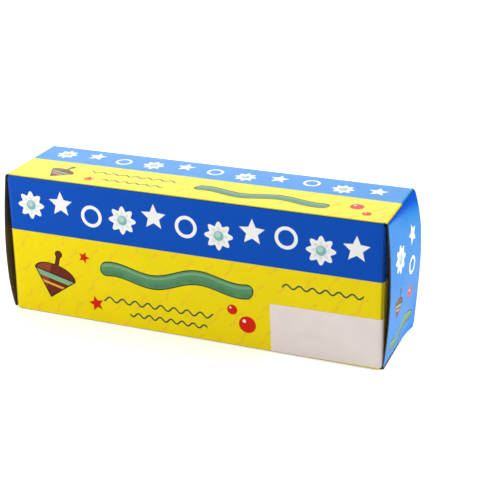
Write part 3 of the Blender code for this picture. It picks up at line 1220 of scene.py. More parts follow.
@dataclass
class BoardSheet:
    """A thin sheet on a grid: its outer face, and an inner face one thickness behind along the unit normals.

    The normal at a point is the column step crossed with the row step. A rim of quads joins the two faces.
    Each point also keeps its place in the closed carton, which the prints read, so that they stay put on a
    flap that swings.
    """

    name: str
    face: np.ndarray
    thickness: float
    fold: np.ndarray
    bands: np.ndarray

    def normals(self) -> np.ndarray:
        """Works out the unit normals of the outer face.

        Returns:
            One normal for each point of the grid.
        """
        across = np.gradient(self.face, axis=1)
        down = np.gradient(self.face, axis=0)
        normal = np.cross(across, down)
        return normal / np.linalg.norm(normal, axis=-1, keepdims=True)

    def mirrored(self, x: int, y: int) -> "BoardSheet":
        """Mirrors the sheet, with its faces still pointing out.

        Args:
            x: 1, or -1 to mirror along x.
            y: 1, or -1 to mirror along y.

        Returns:
            The mirrored sheet.
        """
        face = self.face * np.array((x, y, 1.0))
        step = 1 if x * y > 0 else -1
        return BoardSheet(self.name, face[:, ::step], self.thickness, self.fold[:, ::step], self.bands)

    def build(self, outer: Sequence[bpy.types.Material], inner: bpy.types.Material,
              rim: bpy.types.Material) -> bpy.types.Object:
        """Makes the sheet's object.

        Args:
            outer: Finishes of the outer face; each row of quads takes the one that bands names.
            inner: Finish of the inner face.
            rim: Finish of the cut edge.

        Returns:
            The object.
        """
        rows, columns = self.face.shape[:2]
        count = rows * columns
        back = self.face - self.normals() * self.thickness
        points = np.concatenate((self.face.reshape(-1, 3), back.reshape(-1, 3)))
        numbers = np.arange(count).reshape(rows, columns)
        quads = grid_quads(numbers)
        loop = np.concatenate((numbers[0, :-1], numbers[:-1, -1], numbers[-1, :0:-1], numbers[:0:-1, 0]))
        following = np.roll(loop, -1)
        edge = np.stack((following, loop, loop + count, following + count), axis=-1)
        faces = np.concatenate((quads, quads[:, ::-1] + count, edge))
        obj = link_mesh(self.name, points, faces.tolist(), SHEET_SHARP)
        for finish in (*outer, inner, rim):
            obj.data.materials.append(finish)
        print_index = np.repeat(self.bands, columns - 1)
        inner_index = np.full(len(quads), len(outer))
        rim_index = np.full(len(edge), len(outer) + 1)
        index = np.concatenate((print_index, inner_index, rim_index)).astype(np.int32)
        obj.data.polygons.foreach_set("material_index", index)
        fold = obj.data.attributes.new(FOLD, "FLOAT", "POINT")
        fold.data.foreach_set("value", np.tile(self.fold.ravel(), 2).astype(np.float32))
        place = obj.data.attributes.new(CLOSED_PLACE, "FLOAT_VECTOR", "POINT")
        place.data.foreach_set("vector", points.ravel().astype(np.float32))
        return obj


@dataclass(frozen=True)
class Turned:
    """A turned piece: a profile of (along, out) carried round an axis, with one point where it meets it."""

    name: str
    profile: np.ndarray
    centre: tuple[float, float, float]
    along_x: bool = False
    steps: int = 96
    closed: bool = False

    def build(self, finish: bpy.types.Material) -> bpy.types.Object:
        """Makes the piece: a point is the axis point plus out times the cosine and sine of its angle.

        Args:
            finish: The material.

        Returns:
            The object.
        """
        turn = np.linspace(0.0, math.tau, self.steps, endpoint=False)
        body = self.profile if self.closed else self.profile[1:-1]
        along = np.repeat(body[:, :1], self.steps, axis=1)
        ring_a = body[:, 1:] * np.cos(turn)
        ring_b = body[:, 1:] * np.sin(turn)
        points = np.stack((ring_a, ring_b, along), axis=-1).reshape(-1, 3)
        numbers = np.arange(len(points)).reshape(len(body), self.steps)
        wrapped = np.concatenate((numbers, numbers[:, :1]), axis=1)
        if self.closed:
            wrapped = np.concatenate((wrapped, wrapped[:1]))
        faces = grid_quads(wrapped).tolist()
        if not self.closed:
            first = np.full(self.steps, len(points))
            faces += np.stack((first, wrapped[0, 1:], wrapped[0, :-1]), axis=-1).tolist()
            faces += np.stack((first + 1, wrapped[-1, :-1], wrapped[-1, 1:]), axis=-1).tolist()
            poles = np.array([(0.0, 0.0, self.profile[0, 0]), (0.0, 0.0, self.profile[-1, 0])])
            points = np.concatenate((points, poles))
        if self.along_x:
            points = points[:, (2, 0, 1)]
        obj = link_mesh(self.name, points + np.array(self.centre), faces, WOOD_SHARP)
        obj.data.materials.append(finish)
        return obj


def quarter_round(along: float, out: float, radius: float, start: float, steps: int = 9) -> np.ndarray:
    """A quarter circle of a profile, from an angle and on by 90 degrees less.

    Args:
        along: Centre along the axis.
        out: Centre out from the axis.
        radius: Radius.
        start: First angle in degrees, where 0 points along the axis and 90 out from it.
        steps: Points on the arc.

    Returns:
        Points (along, out).
    """
    angle = np.radians(np.linspace(start, start - 90.0, steps))
    return np.stack((along + radius * np.cos(angle), out + radius * np.sin(angle)), axis=-1)


def straight_run(start: float, end: float, out: float, steps: int) -> np.ndarray:
    """A straight part of a profile, level with the axis.

    Args:
        start: First place along the axis.
        end: Last place along the axis.
        out: Distance from the axis.
        steps: Points on it.

    Returns:
        Points (along, out).
    """
    return np.stack((np.linspace(start, end, steps), np.full(steps, out)), axis=-1)


class Wrap(IntEnum):
    """The sleeve's four panels, numbered as its list of prints has them."""

    FRONT = 0
    TOP = 1
    BACK = 2
    BOTTOM = 3


@dataclass(frozen=True)
class CartonLines:
    """The carton's main lines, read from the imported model."""

    half_depth: float
    height: float
    end_x: float
    dust_x: float
    tongue_z: float
    board: float
    bottom_x: float
    glue_y: float
    glue_top: float
    back_low: float

    @classmethod
    def read(cls, joints: Sequence[Mapping[str, Any]]) -> "CartonLines":
        """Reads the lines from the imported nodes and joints.

        Args:
            joints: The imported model's joints.

        Returns:
            The lines.
        """
        places = {joint["name"]: joint["pos_m"] for joint in joints if "pos_m" in joint}
        front_low, front_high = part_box("front_panel")
        glue_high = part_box("glue_flap")[1]
        return cls(
            half_depth=-front_low.y,
            height=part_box("top_panel")[1].z,
            end_x=places["right_flap_swing"][0],
            dust_x=places["right_front_dust_swing"][0],
            tongue_z=places["right_tongue_fold"][2],
            board=front_high.y - front_low.y,
            bottom_x=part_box("bottom_panel")[1].x,
            glue_y=glue_high.y,
            glue_top=glue_high.z,
            back_low=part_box("back_panel")[0].z,
        )


@dataclass
class BoardFinishes:
    """All finishes of the carton's board, made once."""

    lines: CartonLines
    board: PrintedBoard = PrintedBoard()

    def __post_init__(self) -> None:
        """Makes the materials."""
        self.inside = BareBoard().make("inside_board")
        self.edge = BareBoard(base=Ink.CUT_BOARD).make("cut_edge")
        self.front = self.printed(Panel.FRONT, LongPrint(), Ink.YELLOW)
        self.back = self.printed(Panel.BACK, LongPrint(), Ink.YELLOW)
        # Painted light: the top and the bottom take a lighter yellow ground than the front.
        self.top = self.printed(Panel.TOP, TopPrint(), Ink.LIT_TOP_YELLOW)
        self.bottom = self.printed(Panel.BOTTOM, TopPrint(), Ink.LIT_TOP_YELLOW)
        # Painted light: the ends take a lighter blue ground than the front, standing in for the stronger light
        # on them.
        self.ends = {
            Side.RIGHT: self.printed(Panel.RIGHT_END, EndPrint(), Ink.LIT_END_BLUE),
            Side.LEFT: self.printed(Panel.LEFT_END, EndPrint(), Ink.LIT_END_BLUE),
        }
        self.dust = self.flap_print()

    def printed(self, panel: Panel, layout: Layout, ground: Ink) -> bpy.types.Material:
        """Makes the print of one panel.

        Args:
            panel: The panel.
            layout: What is printed.
            ground: The colour under it.

        Returns:
            The material.
        """
        graph = Graph(panel.value + "_print", CLOSED_PLACE)
        u, v = panel.axes(*graph.place())
        sheet = PrintSheet(graph, u, v, ground)
        layout.paint(sheet)
        return self.board.make(sheet)

    def flap_print(self) -> bpy.types.Material:
        """Makes the dust flaps' outer finish, where u is the distance in from the front or back.

        Returns:
            The material.
        """
        graph = Graph("dust_flap_print", CLOSED_PLACE)
        _, y, z = graph.place()
        sheet = PrintSheet(graph, self.lines.half_depth * MM - abs(y), z, Ink.YELLOW)
        FlapPrint().paint(sheet)
        return self.board.make(sheet)


@dataclass
class Sleeve:
    """The carton's sleeve: one sheet from the glue flap round bottom, front and top to the back's free edge.

    Across the carton it is flats joined by rounded folds; along x each row runs to its own half length. The
    front, top and back swell outwards by bulge times (1 - across^2) times (1 - along^2). The long folds' ends
    lean in over the dust flaps' folds.
    """

    lines: CartonLines
    fold_reach: float = 0.0011
    dust_reach: float = 0.0021
    end_reach: float = 0.0015
    bulge: float = 0.00022
    glue_taper: float = 0.006
    corner_share: float = 0.4
    fold_margin: float = 0.012
    columns: int = 61
    fold_steps: int = 9

    @property
    def side_half(self) -> float:
        """Half length of the front and back, up to where the dust flaps' folds start."""
        return self.lines.dust_x - self.dust_reach

    @property
    def corner_half(self) -> float:
        """Half length of the long folds, which run on over the start of the dust flaps' folds."""
        return self.lines.dust_x - self.dust_reach * self.corner_share

    @property
    def top_half(self) -> float:
        """Half length of the top, up to where the end panels' folds start."""
        return self.lines.end_x - self.end_reach

    def swell(self, along: np.ndarray, across: np.ndarray) -> np.ndarray:
        """Returns how far a panel stands out, from places of -1 to 1 along and across it."""
        return self.bulge * (1 - along**2) * (1 - across**2)

    def flat(self, start: Sequence[float], end: Sequence[float], steps: int, half: Sequence[float],
             band: Wrap, swell: bool) -> dict[str, np.ndarray]:
        """Rows of one flat panel, kept just clear of its folds' own rows.

        Args:
            start: First (y, z).
            end: Last (y, z).
            steps: Rows.
            half: Half length at the first and the last row.
            band: Which print the rows take.
            swell: Whether the panel swells.

        Returns:
            Arrays by row.
        """
        between = np.linspace(0.0, 1.0, steps)[1:-1]
        share = np.concatenate(([self.fold_margin], between, [1 - self.fold_margin]))
        points = (1 - share[:, None]) * np.array(start) + share[:, None] * np.array(end)
        across = 2 * share - 1
        return {
            "points": points,
            "half": (1 - share) * half[0] + share * half[1],
            "band": np.full(len(share), band),
            "fold": np.zeros(len(share)),
            "across": across if swell else np.ones(len(share)),
            "inward": np.zeros(len(share)),
        }

    def turn(self, before: Sequence[float], corner: Sequence[float], after: Sequence[float], half: float,
             bands: tuple[Wrap, Wrap], inward: float = 0.0) -> dict[str, np.ndarray]:
        """Rows of one rounded fold.

        Args:
            before: First (y, z).
            corner: Where the flats would meet.
            after: Last (y, z).
            half: Half length.
            bands: Prints of the first and the second half.
            inward: Which way along y its ends lean in: 1, -1 or 0 for not at all.

        Returns:
            Arrays by row.
        """
        share = np.linspace(0.0, 1.0, self.fold_steps)
        return {
            "points": fold_curve(np.array(before), np.array(corner), np.array(after), self.fold_steps),
            "half": np.full(self.fold_steps, half),
            "band": np.where(share < 0.5, bands[0], bands[1]),
            "fold": np.sin(math.pi * share),
            "across": np.ones(self.fold_steps),
            "inward": np.full(self.fold_steps, inward),
        }

    def rows(self) -> dict[str, np.ndarray]:
        """Strings the flats and the folds together.

        Returns:
            Arrays by row, along the whole path.
        """
        lines = self.lines
        reach = self.fold_reach
        front, rear, glue = -lines.half_depth, lines.half_depth, lines.glue_y
        high, under = lines.height, lines.height - self.fold_reach
        side, top, corner, base = self.side_half, self.top_half, self.corner_half, lines.bottom_x
        low_turn = (Wrap.BOTTOM, Wrap.FRONT)
        front_turn = (Wrap.FRONT, Wrap.TOP)
        rear_turn = (Wrap.TOP, Wrap.BACK)
        ends = (side - self.glue_taper, side)
        parts = (
            self.flat((glue, lines.glue_top), (glue, reach), 8, ends, Wrap.BOTTOM, False),
            self.turn((glue, reach), (glue, 0.0), (glue - reach, 0.0), side, (Wrap.BOTTOM, Wrap.BOTTOM)),
            self.flat((glue - reach, 0.0), (front + reach, 0.0), 18, (base, base), Wrap.BOTTOM, False),
            self.turn((front + reach, 0.0), (front, 0.0), (front, reach), corner, low_turn, 1.0),
            self.flat((front, reach), (front, under), 30, (side, side), Wrap.FRONT, True),
            self.turn((front, under), (front, high), (front + reach, high), corner, front_turn, 1.0),
            self.flat((front + reach, high), (rear - reach, high), 22, (top, top), Wrap.TOP, True),
            self.turn((rear - reach, high), (rear, high), (rear, under), corner, rear_turn, -1.0),
            self.flat((rear, under), (rear, lines.back_low), 30, (side, side), Wrap.BACK, True),
        )
        return {key: np.concatenate([part[key] for part in parts]) for key in parts[0]}

    def build(self, finishes: BoardFinishes) -> bpy.types.Object:
        """Makes the sleeve.

        Args:
            finishes: The board's finishes.

        Returns:
            The object.
        """
        rows = self.rows()
        along = np.linspace(-1.0, 1.0, self.columns)
        step = np.gradient(rows["points"], axis=0)
        step /= np.linalg.norm(step, axis=1, keepdims=True)
        out_y, out_z = -step[:, 1:2], step[:, 0:1]
        stand = self.swell(along[None, :], rows["across"][:, None])
        x = rows["half"][:, None] * along
        past = np.clip(np.abs(x) - self.side_half, 0, self.dust_reach)
        lean = self.dust_reach * (1 - np.sqrt(1 - past / self.dust_reach)) ** 2
        y = rows["points"][:, 0:1] + out_y * stand + rows["inward"][:, None] * lean
        z = rows["points"][:, 1:2] + out_z * stand
        fold = np.repeat(rows["fold"][:, None], self.columns, axis=1)
        face = np.stack((x, y, z), axis=-1)
        sheet = BoardSheet("carton_sleeve", face, self.lines.board, fold, rows["band"][:-1])
        outer = (finishes.front, finishes.top, finishes.back, finishes.bottom)
        obj = sheet.build(outer, finishes.inside, finishes.edge)
        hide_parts("front_panel", "top_panel", "back_panel", "bottom_panel", "glue_flap")
        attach(obj, "carton")
        return obj


@dataclass(frozen=True)
class EdgeBow:
    """How far one upright edge of an end panel stands out of its plane, from top fold to lower fold.

    The bow rises to its fullest at peak and comes in again below it, each by a power, and ends at foot.
    """

    fullest: float
    peak: float
    rise_power: float
    fall_power: float
    foot: float

    def at(self, down: np.ndarray, weight: np.ndarray) -> np.ndarray:
        """Works out this edge's share of the panel's bow.

        Args:
            down: Place down the panel, from 0 at the top fold to 1 at the lower fold.
            weight: 1 at this edge and 0 at the other; the foot fades with its fourth power.

        Returns:
            The share, in metres.
        """
        rise = 1 - np.clip(1 - down / self.peak, 0, 1) ** self.rise_power
        fall = np.clip((down - self.peak) / (1 - self.peak), 0, 1) ** self.fall_power
        return weight * (self.fullest * rise - (self.fullest - self.foot * weight**3) * fall)


@dataclass
class TuckEnd:
    """One tuck end: the bowed end panel on its top fold, the tongue on its lower fold, and two dust flaps.

    The end panel stands out from its plane by a bow that goes over from its front edge's to its back edge's.
    """

    lines: CartonLines
    sleeve: Sleeve
    side: Side
    front_bow: EdgeBow
    back_bow: EdgeBow
    fold_out: float = 0.0
    low_out: float = 0.0007
    low_height: float = 0.034
    side_inset: float = 0.0005
    low_reach: float = 0.0009
    tongue_length: float = 0.012
    tongue_rise: float = 12.0
    tongue_shoulder: float = 0.0021
    shoulder_height: float = 0.0028
    shoulder_power: float = 1.6
    tongue_taper: float = 0.0015
    corner: float = 0.005
    flaps_apart: float = 0.003
    flap_slope: float = 30.0
    flap_lift: float = 0.003
    flap_low: float = 0.0003
    flap_clear: float = 0.0016
    flap_gap: float = 0.0001
    corner_start: float = 0.06
    # Crease weights of the lower fold and the tongue: they set both the flecks of wear and the painted crease
    # shade.
    low_wear_and_shade: tuple[float, float] = (0.3, 0.6)
    tongue_wear_and_shade: float = 0.7
    columns: int = 33
    fold_steps: int = 9
    panel_rows: int = 45
    tongue_rows: int = 30
    flap_rows: int = 18
    corner_rows: int = 14

    @property
    def drop(self) -> float:
        """Height from the top fold down to the tongue's fold."""
        return self.lines.height - self.lines.tongue_z

    def bow(self, down: np.ndarray, y: np.ndarray) -> np.ndarray:
        """Returns how far the panel stands out.

        Args:
            down: Place down the panel, from 0 at the top fold to 1 at the tongue's fold.
            y: Place from front to back.

        Returns:
            The bow, in metres.
        """
        share = np.clip((y / self.lines.half_depth + 1) / 2, 0, 1)
        return self.front_bow.at(down, 1 - share) + self.back_bow.at(down, share)

    def fold_stand(self, z: np.ndarray) -> np.ndarray:
        """Returns how far the dust flaps' folds stand out at a height, by low_out more at the foot."""
        return self.fold_out + self.low_out * np.clip(1 - z / self.low_height, 0, 1) ** 2

    def flap_foot(self, out: np.ndarray) -> np.ndarray:
        """Returns the height of the dust flaps' lower edges at a way out from the side's face."""
        raised = self.lines.tongue_z + self.flap_lift
        return self.flap_low + (raised - self.flap_low) * np.clip(out / self.flap_clear, 0, 1)

    def panel_point(self, down: np.ndarray, y: np.ndarray) -> np.ndarray:
        """Returns (x, z) of the bowed panel at places down it and across it."""
        x = self.lines.end_x + self.bow(down, y)
        return np.stack(np.broadcast_arrays(x, self.lines.height - self.drop * down), axis=-1)

    def fold_weight(self, flat_rows: int) -> np.ndarray:
        """Gives how creased each point is: a half sine over the fold's rows, then none.

        Args:
            flat_rows: Rows beyond the fold.

        Returns:
            The weights by row and column.
        """
        creased = np.sin(np.linspace(0, math.pi, self.fold_steps))
        rows = np.concatenate((creased, np.zeros(flat_rows)))
        return np.repeat(rows[:, None], self.columns, axis=1)

    def panel(self) -> BoardSheet:
        """Shapes the right end panel, from the top's end over the fold and down to the tongue's fold.

        Returns:
            The sheet, under this end's name.
        """
        lines = self.lines
        reach = self.sleeve.end_reach
        across = np.linspace(1.0, -1.0, self.columns)
        y = across * (lines.half_depth - self.side_inset)
        first = np.array((lines.end_x - reach, lines.height))
        corner = np.array((lines.end_x, lines.height))
        joint = self.panel_point(np.array(reach / self.drop), y)
        fold = fold_curve(first, corner, joint, self.fold_steps)
        down = np.linspace(reach / self.drop, 1 - self.low_reach / self.drop, self.panel_rows)[1:, None]
        flat = self.panel_point(down, y[None, :])
        profile = np.concatenate((fold, flat))
        left = np.concatenate((np.full(self.fold_steps, self.drop), self.drop * (1 - down[:, 0])))
        near = np.clip(1 - (left - self.low_reach) / self.shoulder_height, 0, 1)
        shoulder = self.tongue_shoulder * near**self.shoulder_power
        grid_y = y - np.outer(shoulder / lines.half_depth, np.maximum(y, 0.0))
        face = np.stack((profile[..., 0], grid_y, profile[..., 1]), axis=-1)
        weight = self.fold_weight(len(flat))
        # The lower fold's crease weight: flecks of wear and painted crease shade.
        weight[-2:] = np.array(self.low_wear_and_shade)[:, None]
        bands = (np.arange(len(face) - 1) < self.fold_steps // 2).astype(int)
        return BoardSheet(self.side.label + "_end_flap", face, lines.board, weight, bands)

    def tongue(self) -> BoardSheet:
        """Shapes the right tongue: round the lower fold, then flat, rising inwards, with rounded corners.

        Returns:
            The sheet, under this end's name.
        """
        lines = self.lines
        rise = math.radians(self.tongue_rise)
        inward = np.array((-math.cos(rise), math.sin(rise)))
        across = np.linspace(1.0, -1.0, self.columns)
        half = lines.half_depth - self.side_inset
        y = across * half - self.tongue_shoulder * np.maximum(across, 0.0)
        corner = self.panel_point(np.array(1.0), y)
        before = self.panel_point(np.array(1 - self.low_reach / self.drop), y)
        after = corner + inward * self.low_reach
        fold = fold_curve(before, corner, after, self.fold_steps)
        run = np.linspace(self.low_reach, self.tongue_length, self.tongue_rows)[1:]
        flat = corner + run[:, None, None] * inward
        profile = np.concatenate((fold, flat))
        past = np.clip(run - (self.tongue_length - self.corner), 0, self.corner)
        trim = self.tongue_shoulder * np.clip(run / self.tongue_shoulder, 0, 1)
        trim = trim + self.tongue_taper * run / self.tongue_length
        trim = trim + self.corner - np.sqrt(self.corner**2 - past**2)
        width = 1 - np.concatenate((np.zeros(self.fold_steps), trim)) / half
        face = np.stack((profile[..., 0], width[:, None] * y, profile[..., 1]), axis=-1)
        weight = self.tongue_wear_and_shade * self.fold_weight(len(flat))
        bands = np.zeros(len(face) - 1, int)
        return BoardSheet(self.side.label + "_tongue", face, lines.board, weight, bands)

    def dust_flap(self, face_side: Face) -> BoardSheet:
        """Shapes the right front dust flap: round its fold, then across the opening.

        Its fold stands out a little and the flap leans back in from there. Its lower edge steps up by the
        lift within a short way of the fold, its upper edge slopes down, and its two free corners are quarter
        circles.

        Args:
            face_side: Whether the flap is named for the front or the back.

        Returns:
            The sheet, under that name.
        """
        lines = self.lines
        reach = self.sleeve.dust_reach
        front = -lines.half_depth
        fold = fold_curve(
            np.array((lines.dust_x - reach, front)),
            np.array((lines.dust_x, front)),
            np.array((lines.dust_x, front + reach)),
            self.fold_steps,
        )
        length = lines.half_depth - self.flaps_apart / 2
        straight = np.linspace(reach, length - self.corner, self.flap_rows)[1:]
        rounding = np.sin(np.linspace(self.corner_start, math.pi / 2, self.corner_rows))
        run = np.concatenate((straight, length - self.corner + self.corner * rounding))
        flat = np.stack((np.full(len(run), lines.dust_x), front + run), axis=-1)
        path = np.concatenate((fold, flat))
        out = np.clip(path[:, 1] - front, 0, length)
        past = np.clip(out - (length - self.corner), 0, self.corner)
        round_off = self.corner - np.sqrt(np.maximum(self.corner**2 - past**2, 0.0))
        low = self.flap_foot(out) + round_off
        under = self.sleeve.fold_reach + self.flap_gap
        high = lines.height - under - out * math.tan(math.radians(self.flap_slope)) - round_off
        share = np.linspace(1.0, 0.0, self.columns)
        z = low[:, None] + (high - low)[:, None] * share
        ease = np.concatenate((fold_ease(self.fold_steps), (length - run) / (length - reach)))
        x = path[:, :1] + ease[:, None] * self.fold_stand(z)
        y = np.repeat(path[:, 1:], self.columns, axis=1)
        name = f"{self.side.label}_{face_side.label}_dust"
        face = np.stack((x, y, z), axis=-1)
        return BoardSheet(name, face, lines.board, self.fold_weight(len(run)), np.zeros(len(path) - 1, int))

    def build(self, finishes: BoardFinishes) -> list[bpy.types.Object]:
        """Makes the end's four pieces.

        Args:
            finishes: The board's finishes.

        Returns:
            The objects.
        """
        lines = self.lines
        label = self.side.label
        sign = self.side.value
        outer = (finishes.ends[self.side],)
        panel = self.panel().mirrored(sign, 1).build((*outer, finishes.top), finishes.inside, finishes.edge)
        reach = self.sleeve.end_reach
        start = (sign * (lines.end_x - reach), 0.0, lines.height)
        end = (sign * lines.end_x, 0.0, lines.height - reach)
        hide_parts(label + "_end_panel")
        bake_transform(panel)

        tongue = self.tongue().mirrored(sign, 1).build(outer, finishes.inside, finishes.edge)
        start = (sign * lines.end_x, 0.0, lines.tongue_z + self.low_reach)
        end = (sign * (lines.end_x - self.low_reach), 0.0, lines.tongue_z)
        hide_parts(label + "_tuck_tongue")
        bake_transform(tongue)
        pieces = [panel, tongue]
        for face in Face:
            pieces.append(self.hang_flap(face, finishes))
        return pieces

    def hang_flap(self, face: Face, finishes: BoardFinishes) -> bpy.types.Object:
        """Makes one dust flap.

        Args:
            face: Front or back.
            finishes: The board's finishes.

        Returns:
            The object.
        """
        lines = self.lines
        label = f"{self.side.label}_{face.label}_dust"
        sign = self.side.value
        sheet = self.dust_flap(face).mirrored(sign, -face.value)
        flap = sheet.build((finishes.dust,), finishes.inside, finishes.edge)
        reach = self.sleeve.dust_reach
        start = (sign * (lines.dust_x - reach), face.value * lines.half_depth, lines.height / 2)
        end = (sign * lines.dust_x, face.value * (lines.half_depth - reach), lines.height / 2)
        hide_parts(label + "_flap")
        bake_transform(flap)
        return flap


@dataclass
class Sticker:
    """A blank white sticker at the front's lower right corner, carried a little way round the fold there."""

    lines: CartonLines
    sleeve: Sleeve
    end: TuckEnd
    left: float = 0.0384
    low: float = 0.0007
    tall: float = 0.0226
    tilt: float = 0.58
    slant: float = 0.0006
    stand_off: float = 0.00012
    paper: float = 0.00009
    flat_columns: int = 40
    fold_columns: int = 25
    rows: int = 24
    row_power: float = 1.6

    def build(self) -> bpy.types.Object:
        """Makes the sticker: the front panel's surface moved out a little, from its left edge to the fold.

        Returns:
            The object.
        """
        lines = self.lines
        reach = self.sleeve.dust_reach
        front = -lines.half_depth - self.stand_off
        flat_x = np.linspace(self.left, lines.dust_x - reach, self.flat_columns)
        flat = np.stack((flat_x, np.full(self.flat_columns, front)), axis=-1)
        corner = np.array((lines.dust_x + self.stand_off, front))
        after = np.array((lines.dust_x + self.stand_off, front + reach))
        path = np.concatenate((flat, fold_curve(flat[-1], corner, after, self.fold_columns)[1:]))
        ease = np.concatenate((np.zeros(self.flat_columns), fold_ease(self.fold_columns)[1:]))
        up = np.linspace(0.0, 1.0, self.rows)[:, None] ** self.row_power
        lean = math.tan(math.radians(self.tilt))
        rise = lean * (path[:, 0] - self.left)
        foot = np.maximum(self.low + rise, self.end.flap_foot(path[:, 1] - front))
        z = foot + (self.low + self.tall + rise - foot) * up
        low_fold = self.sleeve.fold_reach
        across = np.clip(2 * (z - low_fold) / (lines.height - 2 * low_fold) - 1, -1, 1)
        along = np.clip(path[None, :, 0] / self.sleeve.side_half, -1, 1)
        leftward = np.clip((flat_x[-1] - path[None, :, 0]) / (flat_x[-1] - self.left), 0, 1)
        x = path[None, :, 0] + self.slant * (1 - up) * leftward + ease * self.end.fold_stand(z)
        tuck = low_fold * (1 - np.sqrt(np.clip(z / low_fold, 0, 1))) ** 2
        y = path[None, :, 1] - self.sleeve.swell(along, across) + tuck
        face = np.stack((x, y, z), axis=-1)
        sheet = BoardSheet("front_sticker", face, self.paper, np.zeros(x.shape), np.zeros(len(up) - 1, int))
        paper = StickerPaper().make("sticker_paper")
        obj = sheet.build((paper,), paper, paper)
        start = (lines.dust_x - reach, -lines.half_depth, lines.height / 2)
        end = (lines.dust_x, -lines.half_depth + reach, lines.height / 2)
        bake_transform(obj)
        return obj


